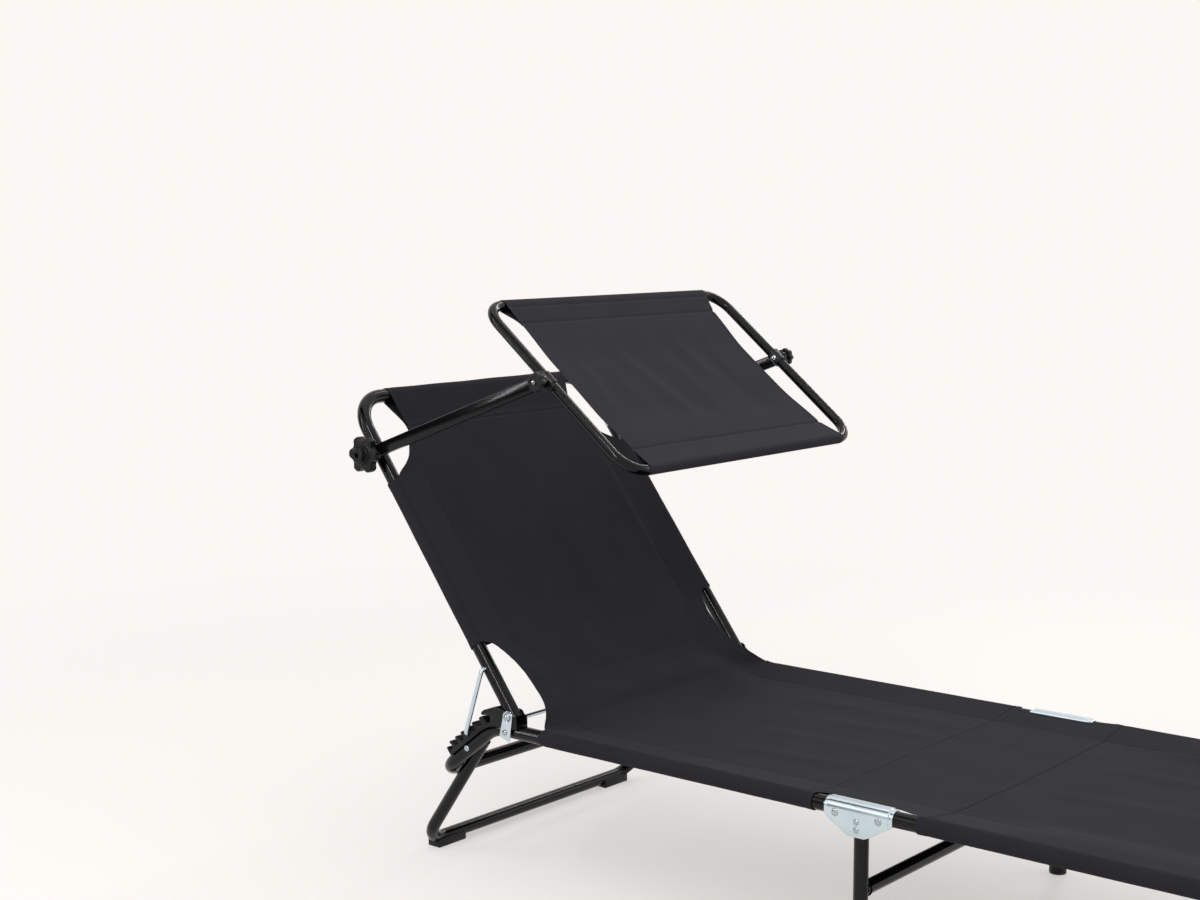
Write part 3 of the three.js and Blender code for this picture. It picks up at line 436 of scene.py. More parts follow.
def between(stops, value):
    """Straight interpolation in a rising table of (value, result)."""
    for (low, a), (high, b) in zip(stops, stops[1:]):
        if value <= high:
            return a + (b - a) * max(0, value - low) / (high - low)
    return stops[-1][1]


def dome(face, outward, radius, height, steps=5):
    """A domed rivet head's profile, from the rim on its face to the middle."""
    angles = [pi / 2 * i / steps for i in range(steps + 1)]
    return [(face + outward * height * sin(a), radius * cos(a)) for a in angles]


def inner_dome(face, radius=5.5, height=2.5):
    """A domed head that looks inwards, from its middle to its rim."""
    return dome(face, -1, radius, height)[::-1]


def rivet(shape, place, side, inner, outer, radius=5.5, height=2.5, pin=3):
    """A rivet through the lounger's side: a domed head inside, a shank, and a domed head outside."""
    shank = [(inner, pin), (outer, pin)]
    profile = inner_dome(inner, radius, height) + shank + dome(outer, 1, radius, height)
    return turned(shape, place, side, profile)


lower_edge = [(-51.4, -6), (-50, -9), (-48, -11), (-47, -11.6), (-46, -12.2), (-17, -30), (-12, -32),
              (12, -32), (17, -30), (46, -13.1), (47, -12.5), (49.5, -11), (51.5, -9), (52.9, -6)]
roof_radii = [(-51.4, 11.8), (-47, 11.8), (-46, 13.6), (46, 13.6), (47, 11.8), (52.9, 11.8)]
stations = [x for x, drop in lower_edge]
cheek_shares = (0.33, 0.66, 1)
roof_angles = [pi / 2 * (i / 8 - 1) for i in range(17)]
section = [(-1, share) for share in reversed(cheek_shares)]
section += [(sin(a), -cos(a)) for a in roof_angles]
section += [(1, share) for share in cheek_shares]
for name, side in sides:
    bracket = bmesh.new()
    bmesh.ops.create_grid(bracket, x_segments=len(stations) - 1, y_segments=len(section) - 1, size=1)
    for vert in bracket.verts:
        x = stations[round((vert.co.x + 1) / 2 * (len(stations) - 1))]
        out, low = section[round((vert.co.y + 1) / 2 * (len(section) - 1))]
        radius = between(roof_radii, x)
        z = low * between(lower_edge, x) if low > 0 else -low * radius
        vert.co = spot(x, rail_z + z, side * rail_y + out * radius)
    channel = finish(f"hinge_channel_{name}", bracket, zinc, "mid_leg", "zinc_steel",
                     f"hinge_bracket_{name}", sharp=60)
    wall = channel.modifiers.new("sheet", "SOLIDIFY")
    wall.thickness, wall.offset = sheet_wall * mm, 0
    rim = channel.modifiers.new("rim", "BEVEL")
    rim.width, rim.segments, rim.limit_method = sheet_ease * mm, 2, "ANGLE"
    pins = (("seat_hinge_rivet", spot(-33, 236), 5.5), ("foot_hinge_rivet", spot(33, 236), 5.5),
            ("upper_leg_rivet", spot(0, 229), 4.6), ("lower_leg_rivet", spot(0, 218), 4.6))
    for pin, place, size in pins:
        finish(f"{pin}_head_{name}", rivet(bmesh.new(), place, side, -14, 14, size), rivet_steel, "mid_leg",
               "zinc_steel", f"{pin}_{name}")


# Leg pivots and stop studs. Zinc-plated shoulder rivets through rail and leg, with a collar between the two.
# A stud inside the foot rail stops the foot leg.
rail_wall_face = 11.3
foot_side = spot(sin(foot_leg_angle), cos(foot_leg_angle))
stud_place = along(foot_leg_pivot, (foot_side, leg_radius + 4.3), (foot_leg_down, 10))
stud_profile = [(-35, 0), (-35, 3.4), (-34.4, 4), (-rail_wall_face, 4), (-rail_wall_face, 3),
                (rail_wall_face, 3)]
shoulder = [(-35.3, 3), (-14.7, 3), (-14.7, 6), (-rail_wall_face, 6), (-rail_wall_face, 3),
            (rail_wall_face, 3)]
leg_pin = inner_dome(-35.3) + shoulder + dome(rail_wall_face, 1, 5, 2.2)
for name, side in sides:
    for (leg, leg_pivot, down), body in zip(legs, ("seat", "foot")):
        pin = turned(bmesh.new(), leg_pivot, side, leg_pin)
        finish(f"{leg}_pivot_{name}", pin, rivet_steel, body, "zinc_steel", f"{leg}_rivet_{name}")
    stud = turned(bmesh.new(), stud_place, side, stud_profile + dome(rail_wall_face, 1, 5.5, 2.5))
    finish(f"stop_stud_{name}", stud, rivet_steel, "foot", "zinc_steel", f"foot_leg_stop_{name}")


# Recline racks. Glass-filled black nylon saddles on the upper half of the rail, moulded in one piece each.
# They have seven hooked notches for the bail and two cheeks that hold the backrest's end.
bend_setback = bend_radius * tan(slope_angle / 2)
bend_length = bend_radius * slope_angle
saddle_height = 6.5
rack_half = 13
notch_pitch = 15.33
notch_down = 46
notch_height = 16.5
notch_radius = 3.9
rest_notch = notch_down - bend_setback
hook = ((3.9, 19.8), (3.5, 21), (2.5, 21.9), (2, 23.2), (2.3, 24.6), (3.6, 25.6), (6.2, 25.6), (7.8, 24.6),
        (9.3, 21.8), (10.3, 18.4))
nose = ((-3.9, 21), (-3, 23.6), (-0.6, 25.2), (4, 25.6), (6.6, 26.6), (7.6, 28.6), (7.2, 30.6), (5.6, 32.2),
        (2, 33.6), (-11.5, 34.6), (-24, 34.2), (-29.2, 33.2))
tail = ((7.6, saddle_height), (8.4, 9), (8.8, 18), (8.2, 20.2), (6.8, 21.4), (5.2, 21))


def over_rail(down, height):
    """A place by its distance down the slope from the end of the rail's bend and its height over the rail."""
    if down >= 0:
        return along(rail_bend, (slope_down, bend_setback + down), (slope_up, height))
    angle = max(slope_angle + down / bend_radius, 0)
    centre = spot(rail_bend.x + bend_setback, rail_z - bend_radius)
    past = max(-down - bend_length, 0)
    reach = bend_radius + height
    return centre + spot(past - reach * sin(angle), reach * cos(angle))


def rack_outline():
    """The rack from the side: its tail, the notches with a hook over each, the nose and the cheek."""
    outline = [over_rail(0, saddle_height)]
    outline += [over_rail(rest_notch + 3 * notch_pitch + down, height) for down, height in tail]
    for i in range(3, -4, -1):
        place = rest_notch + i * notch_pitch
        outline.append(over_rail(place + 4.4, 17.8))
        for step in range(9):
            angle = pi * step / 8
            beyond, into = notch_radius * cos(angle), notch_radius * sin(angle)
            outline.append(over_rail(place + beyond, notch_height - into))
        if i > -3:
            outline += [over_rail(place - down, height) for down, height in hook]
    outline += [over_rail(rest_notch - 3 * notch_pitch + down, height) for down, height in nose]
    outline += arc(pivot, 8.5, 100, 20, 4)
    outline += [spot(pivot.x + 15, pivot.z - 1), spot(pivot.x + 16, pivot.z - 6)]
    outline += [spot(pivot.x + 16, rail_z + saddle_height)]
    return outline + [over_rail(-bend_length * share, saddle_height) for share in (1, 0.66, 0.33)]


def subtract(piece, tool):
    """Cuts a tool's shape out of a piece for good, and takes the tool away."""
    into_place(tool)
    cutter = mesh_object("tool", tool)
    cut = piece.modifiers.new("cut", "BOOLEAN")
    cut.operation, cut.solver, cut.object = "DIFFERENCE", "EXACT", cutter
    bpy.context.view_layer.update()
    made = bpy.data.meshes.new_from_object(piece.evaluated_get(bpy.context.evaluated_depsgraph_get()))
    piece.modifiers.clear()
    piece.data = made
    bpy.data.objects.remove(cutter)


def backrest_room():
    """The room between the cheeks in which the backrest's end turns, from its lowest angle to upright."""
    lowest = 24.1
    end_radius, reach, width = 13.2, 120, 30
    under = [spot(-sin(radians(a)), -cos(radians(a))) for a in (lowest, 16, 8, 0)]
    reclined = spot(-cos(radians(lowest)), sin(radians(lowest)))
    room = [along(pivot, (under[0], end_radius), (reclined, reach))]
    room += [along(pivot, (down, end_radius)) for down in under]
    below = room[-1]
    return room + [below + spot(width, 0), below + spot(width, reach), spot(room[0].x, below.z + reach)]


for name, side in sides:
    rack = plate(bmesh.new(), rack_outline(), *span(side, -rack_half, rack_half), edge=0.8)
    rack = finish(f"recline_rack_body_{name}", rack, plastic, "seat", "black_plastic",
                  f"recline_rack_{name}", sharp=40)
    subtract(rack, plate(bmesh.new(), backrest_room(), *span(side, -11.4, 11.4), edge=0))


# Pivot straps. Flat zinc-plated strips from the backrest's pivot down to a rivet in the rail.
# The pivot pin has a wide flat head outside and a domed nut inside.
rail_rivet = spot(pivot.x - 6, rail_z)
strap_outline = arc(pivot, 9.4, -10, 190, 16)
strap_outline += [rail_rivet + spot(x, z) for x, z in ((-10, -5), (-9.2, -7.6), (8.4, -13), (10, -11.6))]
pin_head = [(15.6, 7.6), (16.4, 7.6), (16.8, 7.1), (16.6, 6.2), (16, 5.4), (16.6, 5.2), (18, 4.4), (18.8, 3),
            (19.2, 1.4), (19.3, 0)]
pin_nut = [(-18.3, 0), (-18.2, 2.4), (-17.4, 4.6), (-16.2, 6), (-15, 6.6), (-14.4, 7.5), (-13.3, 7.5)]
for name, side in sides:
    strap = plate(bmesh.new(), strap_outline, *span(side, 13.3, 15.3), edge=0.3)
    finish(f"pivot_strap_plate_{name}", strap, zinc, "seat", "zinc_steel", f"pivot_strap_{name}")
    bolt = turned(bmesh.new(), pivot, side, pin_nut + [(-13.3, 3), (15.6, 3)] + pin_head)
    finish(f"pivot_bolt_{name}", bolt, rivet_steel, "pivot_pins", "zinc_steel", f"pivot_pin_{name}")
    pin = rivet(bmesh.new(), rail_rivet, side, -rail_wall_face, 15.6, 4.6, 2.2)
    finish(f"strap_rivet_head_{name}", pin, rivet_steel, "seat", "zinc_steel", f"strap_rivet_{name}")


# Bail. One 7 mm steel rod, bent cold and zinc plated: both ends hook into the backrest tubes from outside,
# and its bar lies in a notch of each rack.
bail_radius = 3.5
bail_y = rail_y + 17.2
bail_hook = 22
bail_hole = along(pivot, (back_up, 83))
bail_bar = along(rail_bend, (slope_down, notch_down), (slope_up, notch_height))
near_bail = [beside(bail_hole, bail_hook - bail_y), beside(bail_hole, -bail_y), beside(bail_bar, -bail_y)]
finish("bail_rod", across(near_bail, [5.5] * 4, bail_radius, sides=16, bend_steps=8, bore=0), zinc, "bail",
       "zinc_steel", "bail")


# Sling. One long cloth of black woven polyester from the head bar to the foot bar, cut in round the hip, the
# middle brackets and the corners, and folded round the tubes to sewn sleeves. It is made as one surface, in
# slices: a slice on one part rides on it, and the slices that span two parts stay where they are drawn.
lift = 12.4
stitch_reach = 67
bar_seam = 62
under_gap = 1.7
stitch_drop = 10.4
rib_spacing = 2.3

# Black woven polyester: matt and nearly even, with a faint sheen and fine ribs that only show close up.
cloth, shader = start_material(
    "woven_polyester_black", Roughness=0.85, Sheen_Weight=0.02, Sheen_Roughness=0.5,
    Specular_IOR_Level=0.06)[:2]


def weave(material, shader, dark, light, thread):
    """Lengthwise ribs over a soft mottle, at a spacing in millimetres that is coarser than real, to show."""
    place = add_node(material, "ShaderNodeUVMap", uv_map="cut").outputs["UV"]
    ribs = add_node(
        material, "ShaderNodeTexWave",
        {"Scale": 2 * pi / (20 * thread * mm), "Distortion": 1.2, "Detail": 1.5, "Detail Scale": 0.4},
        {"Vector": place}, bands_direction="X")
    picks = add_node(
        material, "ShaderNodeTexWave", {"Scale": 2 * pi / (26 * thread * mm), "Distortion": 0.8},
        {"Vector": place}, bands_direction="Y")
    both = add_node(material, "ShaderNodeMath", {1: 0.5}, {0: picks.outputs["Fac"]}, operation="MULTIPLY")
    height = add_node(material, "ShaderNodeMath", (), {0: ribs.outputs["Fac"], 1: both.outputs["Value"]},
                      operation="ADD")
    mottle = two_tones(material, place, dark, light, 70)
    lines = add_node(
        material, "ShaderNodeMapRange", {"To Min": 0.78, "To Max": 1.2}, {"Value": ribs.outputs["Fac"]})
    tinted = add_node(
        material, "ShaderNodeMix", {"Factor": 1.0}, {"A": mottle}, data_type="RGBA", blend_type="MULTIPLY")
    feed(tinted, "B", lines.outputs["Result"])
    feed(shader, "Base Color", tinted.outputs["Result"])
    bump = add_node(material, "ShaderNodeBump", {"Strength": 0.3, "Distance": 0.2 * mm},
                    {"Height": height.outputs["Value"]})
    feed(shader, "Normal", bump.outputs["Normal"])


weave(cloth, shader, "#232227", "#29282d", rib_spacing)

back_run = 455
hip_top = along(pivot, (back_up, back_length - back_run), (back_front, lift))
hip_foot = spot(-554, rail_z + lift)
hip_run = (hip_foot - hip_top).length
hip_angle = atan2(hip_top.z - hip_foot.z, hip_foot.x - hip_top.x)
seat_start = back_run + hip_run
hinge_s = seat_start - hip_foot.x
knee_start = hinge_s - 71
knee_end = hinge_s + 87
sling_end = hinge_s + foot_length
up_z = spot(0, 1)
hip_cut = [(0, 10), (0.01, 18), (0.036, 24.9), (0.129, 33.7), (0.256, 41), (0.387, 44.6), (0.52, 44.1),
           (0.647, 40.3), (0.739, 34.6), (0.829, 26), (0.895, 16.6), (0.97, 3.5)]
edge_cut = [(0, 72), (30, 79), (60, 87), (66, 85), (86, 73), (100, 65), (115, 54.5), (127, 41), (136, 27),
            (146, 10), (151, 4), (157, 0), (back_run - 2, 0)]
edge_cut += [(back_run + share * hip_run, cut) for share, cut in hip_cut]
edge_cut += [(seat_start, 0), (knee_start, 0)]
edge_cut += [(hinge_s + x, cut) for x, cut in ((-66, 9), (-58, 12), (57, 12), (60, 3), (81, 1))]
edge_cut += [(knee_end, 0)]
edge_cut += [(hinge_s + x, cut) for x, cut in (
    (503, 0), (510, 9), (518, 20), (528, 33), (538, 45), (548, 56), (560, 65), (576, 74), (594, 85),
    (600, 87), (630, 79), (660, 72))]
sleeve_ends = [157, back_run - 2, seat_start, knee_start, knee_end, hinge_s + 503]


def cut_in(s):
    """How far the cloth's edge stands in from the rail's centre, by the distance from the head bar."""
    wrapped = max(-s, s - sling_end)
    if wrapped > 0:
        back = max(0, wrapped - 41.4)
        s = back if s < 0 else sling_end - back
    return between(edge_cut, s)


def sleeved(s):
    return any(start <= s <= end for start, end in zip(sleeve_ends[::2], sleeve_ends[1::2]))


def round_bar(distance, bar, top, outward, radius, seam):
    """The cloth's way round a bar and back under itself to its seam, by the distance from the bar's top."""
    lean = asin(radius / seam)
    angle = min(distance / radius, pi + lean)
    side = top * cos(angle) + outward * sin(angle)
    onward = outward * cos(angle) - top * sin(angle)
    rest = max(distance - radius * (pi + lean), 0)
    sloping = min(rest, (radius * cos(lean) - under_gap) / sin(lean))
    return along(bar, (side, radius), (onward, sloping), (-outward, rest - sloping)), side


def sling_line(s, ease=0):
    """The place and the upward side of the cloth's line level with the tubes' tops, by the distance from the
    head bar. Its two corners round the hip are eased more towards the middle of the cloth."""
    if s < 0:
        return round_bar(-s, along(pivot, (back_up, back_length)), back_front, back_up, lift, bar_seam)
    if s > sling_end:
        return round_bar(s - sling_end, spot(foot_length, rail_z), up_z, spot(1, 0), lift, bar_seam)
    corners = ((back_run, hip_top, back_angle, hip_angle, 8 + 50 * ease),
               (seat_start, hip_foot, hip_angle, 0, 8 + 78 * ease))
    for start, corner, before, after, reach in corners:
        turned_share = (s - start + reach) / (2 * reach)
        if 0 < turned_share < 1:
            radius = reach / tan((before - after) / 2)
            begin = along(corner, (spot(cos(before), -sin(before)), -reach))
            centre = along(begin, (spot(sin(before), cos(before)), radius))
            angle = before + (after - before) * turned_share
            side = spot(sin(angle), cos(angle))
            return along(centre, (side, -radius)), side
    if s < back_run:
        return along(hip_top, (back_up, back_run - s)), back_front
    if s < seat_start:
        place = hip_top.lerp(hip_foot, (s - back_run) / hip_run)
        return place, spot(sin(hip_angle), cos(hip_angle))
    return along(hip_foot, (spot(1, 0), s - seat_start)), up_z


def bump_at(distance, width):
    return exp(-(distance / width) ** 2)


def soft(share):
    """A share held between 0 and 1 that starts and stops gently."""
    share = min(1, max(0, share))
    return share * share * (3 - 2 * share)


def folds(table, s, y):
    """The height of soft folds that run from one place on the cloth to another and fade at both."""
    total = 0
    for start, end, width, height in table:
        share = (s - start[0]) / (end[0] - start[0])
        middle = start[1] + (end[1] - start[1]) * share
        total += height * soft(share * 3) * soft((1 - share) * 3) * bump_at(y - middle, width)
    return total


def seam_lines(seams, depth, width):
    """The cloth's height near its seams, by the distances from them: low in the stitch, puffed beside it."""
    puff = 0.4 * max(bump_at(abs(seam) - 5, 3) for seam in seams)
    return puff - depth * max(bump_at(seam, width) for seam in seams)


def leg_room(s):
    """The stretch beside the folded foot leg, where the cloth stays high and its sleeve tight."""
    return soft((s - hinge_s - 150) / 120) * soft((hinge_s + 578 - s) / 40)


def sink(s, y, half):
    """How far the cloth lies under the tubes' top line: it slopes in to their middles and sags a little."""
    hip_share = (s - back_run) / hip_run
    rise = sin(pi * hip_share) if 0 < hip_share < 1 else 0
    inboard = (rail_y - abs(y)) * (1 - rise) + (half - abs(y)) * rise
    slope = between([(0, 0), (2.3, 0.21), (stitch_reach, stitch_drop)], inboard)
    steeper = between([(0, 0), (38, 0.5), (70, 5), (105, stitch_drop)], inboard)
    slope += (steeper - slope) * leg_room(s)
    from_end = min(s, sling_end - s)
    from_bar = between([(0, 0), (2.4, 0.24), (bar_seam, lift)], from_end)
    slope = min(4 * rise + slope * (1 - 4 * rise / stitch_drop), from_bar)
    slope -= 6 * soft((hip_share - 0.5) / 0.35) * soft((1 - hip_share) / 0.15)
    belly = 2.5 * max(0, 1 - (y / 222) ** 2) * soft((from_end - bar_seam) / 95)
    return slope + belly


def sling_sleeve(s, side, angle):
    """The sleeve's skin round the rail, gathered a little at its ends and not quite even."""
    middle, up = sling_line(s)
    band = 0.4 * max(bump_at(s - end, 9) for end in sleeve_ends)
    band -= 0.4 * max(bump_at(abs(s - end) - 15, 1.6) for end in sleeve_ends)
    wave = 0.2 * sin(s / 17 + 2 * angle) + 0.12 * sin(s / 6.1 + 5 * angle + side)
    out = Vector((0, side * sin(angle), 0)) + up * cos(angle)
    return beside(middle, side * rail_y) - up * lift + out * (lift + band + wave * sin(angle))


def sling_under(s, side, reach, y, half):
    """The sleeve's way back under the cloth to its stitch line, tight round the tube where the leg folds."""
    middle, up = sling_line(s, soft((half - y) / 140))
    low = between([(2.3, 0.21), (45, 12.2), (stitch_reach, 12.7)], reach) - 2 * lift
    low = min(low, -sink(s, y, half) - under_gap)
    angle = radians(190.7 + 1.9 * reach)
    tight = beside(middle, side * rail_y) + up * lift * (cos(angle) - 1)
    tight += Vector((0, side * lift * sin(angle), 0))
    return (beside(middle, side * y) + up * low).lerp(tight, leg_room(s))


def sling_spot(s, column):
    """A place on the cloth, by the distance from the head bar and by where it is across."""
    side, kind, value = column
    half = rail_y - cut_in(s)
    if kind in ("under", "sleeve") and not sleeved(s):
        return None
    if kind == "sleeve":
        return sling_sleeve(s, side, radians(value))
    if kind == "under":
        return sling_under(s, side, value, rail_y - value, half)
    y = {"flat": value, "edge": half - value, "run": 190 + (half - 201) * value}[kind]
    middle, up = sling_line(s, soft((half - y) / 140))
    low = -sink(s, y, half)
    ripple = 0.3 * sin(y * side / 21 + 0.8 * sin(s / 90)) + 0.3 * sin(s / 43 + y * side / 60)
    low += ripple * soft((half - y) / 60)
    low += folds(sling_folds, s, y * side)
    if sleeved(s):
        low -= 0.4 * bump_at(y - 222, 1.5) - 0.2 * bump_at(y - 214, 5)
    low -= 0.6 * min(1, cut_in(s) / 8) * bump_at(half - y - 9, 1.4)
    bow = 10 * (y / rail_y) ** 2
    seams = (s - bar_seam, s - hinge_s + 88 - bow, s - hinge_s - 101, sling_end - bar_seam - s)
    return beside(middle, side * y) + up * (low + seam_lines(seams, 1.2, 1.6))


sling_folds = [
    ((seat_start + 190, -150), (hinge_s - 70, -120), 15, 2.38),
    ((seat_start + 170, -40), (hinge_s - 40, -20), 17, 2.04),
    ((seat_start + 200, 60), (hinge_s - 60, 90), 14, 2.21),
    ((seat_start + 120, 150), (hinge_s - 80, 165), 13, 1.7),
    ((120, 206), (400, 214), 15, 2.72), ((90, -150), (300, -190), 20, 1.36), ((250, 30), (500, 60), 30, 1.53),
    ((hinge_s + 110, -60), (hinge_s + 400, -30), 16, 2.04),
    ((hinge_s + 120, 90), (hinge_s + 420, 110), 15, 2.04)]


def sling_columns():
    """The cloth's columns from the near stitch line to the far one, each by side, kind and measure."""
    near = [(-1, "under", v) for v in (76, 71, 68, 67, 66, 62, 50, 35, 18)]
    near += [(-1, "sleeve", a) for a in (190.7, 180, 166, 152, 138, 124, 110, 96, 82, 68, 54, 40, 26, 12)]
    near += [(-1, "edge", v) for v in (0, 1.2, 3, 7, 8.2, 9, 9.8, 11)]
    near += [(-1, "run", v) for v in (
        0.88, 0.75, 0.62, 0.51, 0.43, 0.392, 0.3636, 0.335, 0.3, 0.25, 0.18, 0.09)]
    near += [(-1, "flat", v) for v in (189, 176, 162, 148, 134, 120, 105, 90, 75, 60, 45, 30, 15)]
    return near + [(1, "flat", 0)] + [(1, kind, value) for side, kind, value in reversed(near)]


def across_measure(column):
    """A column's distance from the middle on the flat cloth, in metres."""
    side, kind, value = column
    outward = {"flat": value, "edge": rail_y - value, "run": 190 + 88 * value,
               "sleeve": rail_y + lift * radians(value), "under": rail_y + lift * pi + value}[kind]
    return side * outward * mm


def sew(name, rows, columns, place_of, measure, material, slot, body, *stands_for):
    """A cloth sheet: a grid placed row by row, with its cut kept as its own flat map."""
    shape = bmesh.new()
    flat = shape.loops.layers.uv.new("cut")
    bmesh.ops.create_grid(shape, x_segments=len(columns) - 1, y_segments=len(rows) - 1, size=1)
    stands, left_out = {}, []
    for vert in shape.verts:
        column = columns[round((vert.co.x + 1) / 2 * (len(columns) - 1))]
        row = rows[round((vert.co.y + 1) / 2 * (len(rows) - 1))]
        stands[vert] = (measure(column), row * mm)
        place = place_of(row, column)
        if place is None:
            left_out.append(vert)
        else:
            vert.co = place
    for face in shape.faces:
        for corner in face.loops:
            corner[flat].uv = stands[corner.vert]
    bmesh.ops.delete(shape, geom=left_out, context="VERTS")
    area = sum(face.calc_area() for face in shape.faces) * mm * mm
    piece = finish(name, shape, material, body, slot, *stands_for, sharp=80)
    return piece, area


def upright(piece, towards):
    """Turns a sheet's faces so that most of them look towards this direction."""
    shape = bmesh.new()
    shape.from_mesh(piece.data)
    if sum(face.normal.dot(towards) * face.calc_area() for face in shape.faces) < 0:
        bmesh.ops.reverse_faces(shape, faces=shape.faces[:])
    shape.to_mesh(piece.data)
    shape.free()


def thicken(piece, thickness=0.8):
    """Rounds a sheet between its rows and columns, and gives it its thickness on the lower side."""
    smooth = piece.modifiers.new("drape", "SUBSURF")
    smooth.levels = smooth.render_levels = 1
    smooth.boundary_smooth = "PRESERVE_CORNERS"
    wall = piece.modifiers.new("cloth", "SOLIDIFY")
    wall.thickness, wall.offset = thickness * mm, -1


def row_list(start, end, step, *extra):
    """Distances from start to end at about this step, with extra ones kept exactly."""
    count = max(1, round((end - start) / step))
    rows = {round(start + (end - start) * i / count, 3) for i in range(count + 1)}
    kept = {round(value, 3) for value in extra if start < value < end}
    ends = (round(start, 3), round(end, 3))
    rows = {row for row in rows if row in ends or all(abs(row - k) > 1 for k in kept)}
    return sorted(rows | kept)


seam_steps = (-9, -5, -2.4, -1.2, 0, 1.2, 2.4, 5, 9)
wrap_rows = [-66, -56, -48, -41.4, -36, -30, -24, -18, -12, -6, 0, 2.4, 20, 34, 48]
cut_rows = wrap_rows + [bar_seam + step for step in seam_steps]
cut_rows += [84, 100, 112, 122, 132, 142, 150, 157, 161, 165, 170, 172, 174, 180]
cut_rows += [431, 435, 437, 439, 443, 448]
cut_rows += [back_run + step for step in (-2, 40, 50, 60)]
cut_rows += [back_run + share * hip_run for share, cut in hip_cut if share]
cut_rows += [seat_start + step for step in (-2, 0, 5, 12, 14.5, 17, 24)]
cut_rows += [hinge_s - 94 + 2.2 * i for i in range(11)]
cut_rows += [hinge_s + step for step in (-66, -62, -58, 73, 77, 81, 84, 87)]
cut_rows += [hinge_s + 101 + step for step in seam_steps]
cut_rows += [hinge_s + step for step in (479, 485, 488, 491, 498, 503, 510, 518, 528, 538, 548, 560, 576)]
cut_rows += [sling_end - bar_seam + step for step in seam_steps] + [sling_end - row for row in wrap_rows]

wrap_reach = 109
hip_mid = back_run + 0.5 * hip_run
slices = [
    ("backrest_cloth", -wrap_reach, back_run + 0.02, "backrest", None, ["backrest_sling"]),
    ("hip_cloth_upper", back_run, hip_mid, "pivot_pins", "backrest", ["hip_sling"]),
    ("hip_cloth_lower", hip_mid, seat_start, "seat", "pivot_pins", ["hip_sling"]),
    ("seat_cloth", seat_start, knee_start, "seat", None, ["seat_sling"]),
    ("knee_cloth_head_side", knee_start, hinge_s, "seat", "mid_leg", ["knee_sling"]),
    ("knee_cloth_foot_side", hinge_s, knee_end, "mid_leg", "foot", ["knee_sling"]),
    ("foot_cloth", knee_end, sling_end + wrap_reach, "foot", None, ["foot_sling"]),
]
blend_ends = {
    "hip_cloth_upper": (hip_mid, back_run), "hip_cloth_lower": (seat_start, hip_mid),
    "knee_cloth_head_side": (knee_start, hinge_s), "knee_cloth_foot_side": (hinge_s, knee_end),
}
for name, start, end, body, other, nodes in slices:
    rows = row_list(start, end, 14, *cut_rows, start + 1.2, end - 1.2)
    piece, area = sew(name, rows, sling_columns(), sling_spot, across_measure, cloth, "sling_cloth",
                      None if other else body, *nodes)
    upright(piece, up_z)
    if other:
        ends = [sling_line(value)[0] * mm + hinge_place for value in blend_ends[name]]
        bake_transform(piece)
    thicken(piece)


# Canopy arms. Flat oblong steel tube, 20 by 10 mm, powder coated like the frames.
# Each is clamped to the backrest by a bolt with a big star knob, over a washer that keeps it off the tube.
arm_angle = radians(20.5)
arm_reach = 473
arm_length = 382
arm_half = 10
arm_foot = along(pivot, (back_up, arm_reach))
arm_head = along(arm_foot, (spot(cos(arm_angle), sin(arm_angle)), arm_length))
washer = [(rail_wall_face, 3.4), (rail_wall_face, 9), (12, 10), (13.3, 10), (14, 9.4), (14, 3.4)]
knob_face = 24.6
big_hub = [(0, 20), (2.2, 20), (3, 19.2), (3.2, 17.4), (2.6, 16.4), (2.6, 14.2), (3.6, 13), (12.2, 11.6),
           (13.4, 10.4), (13.4, 5.2), (12.6, 4.2), (3, 4.2), (3, 0)]


def stadium(start, end, half, steps=12):
    """The outline of an oblong with round ends."""
    heading = degrees(atan2(end.z - start.z, end.x - start.x))
    round_end = arc(end, half, heading - 90, heading + 90, steps)
    return round_end + arc(start, half, heading + 90, heading + 270, steps)


def star_knob(place, side, radius, depth, lobes, valley, hub):
    """A moulded knob: lobes with hollows between them, and a stepped hub with a hole for the bolt's end."""
    shape = bmesh.new()
    steps = lobes * 16
    outline = []
    for i in range(steps):
        angle = 2 * pi * i / steps
        wave = tanh(1.5 * cos(lobes * angle) + 0.3) / tanh(1.8)
        reach = radius * ((1 + valley) / 2 + (1 - valley) / 2 * wave)
        outline.append(place + spot(cos(angle), sin(angle)) * reach)
    plate(shape, outline, *span(side, knob_face, knob_face + depth), edge=depth * 0.2, steps=4)
    turned(shape, place, side, [(knob_face + depth - 2 + a, b) for a, b in hub], steps=36)
    return shape


arm_outline = stadium(arm_foot, arm_head, arm_half)
for name, side in sides:
    arm = plate(bmesh.new(), arm_outline, *span(side, 14.3, 24.3), edge=1.8, steps=4)
    finish(f"canopy_arm_tube_{name}", arm, enamel, "canopy_arms", "black_enamel_steel", f"canopy_arm_{name}")
    finish(f"arm_spacer_washer_{name}", turned(bmesh.new(), arm_foot, side, washer, steps=32), plastic,
           "canopy_bolts", "black_plastic", f"arm_spacer_{name}")
    shank = inner_dome(-rail_wall_face) + [(-rail_wall_face, 3), (38.4, 3), (38.6, 0)]
    finish(f"arm_bolt_shank_{name}", turned(bmesh.new(), arm_foot, side, shank), rivet_steel, "canopy_bolts",
           "zinc_steel", f"arm_bolt_{name}")
    knob = star_knob(arm_foot, side, radius=30, depth=15.5, lobes=6, valley=0.76, hub=big_hub)
    finish(f"arm_knob_star_{name}", knob, plastic, f"arm_knob_{name}", "black_plastic", f"arm_knob_{name}")


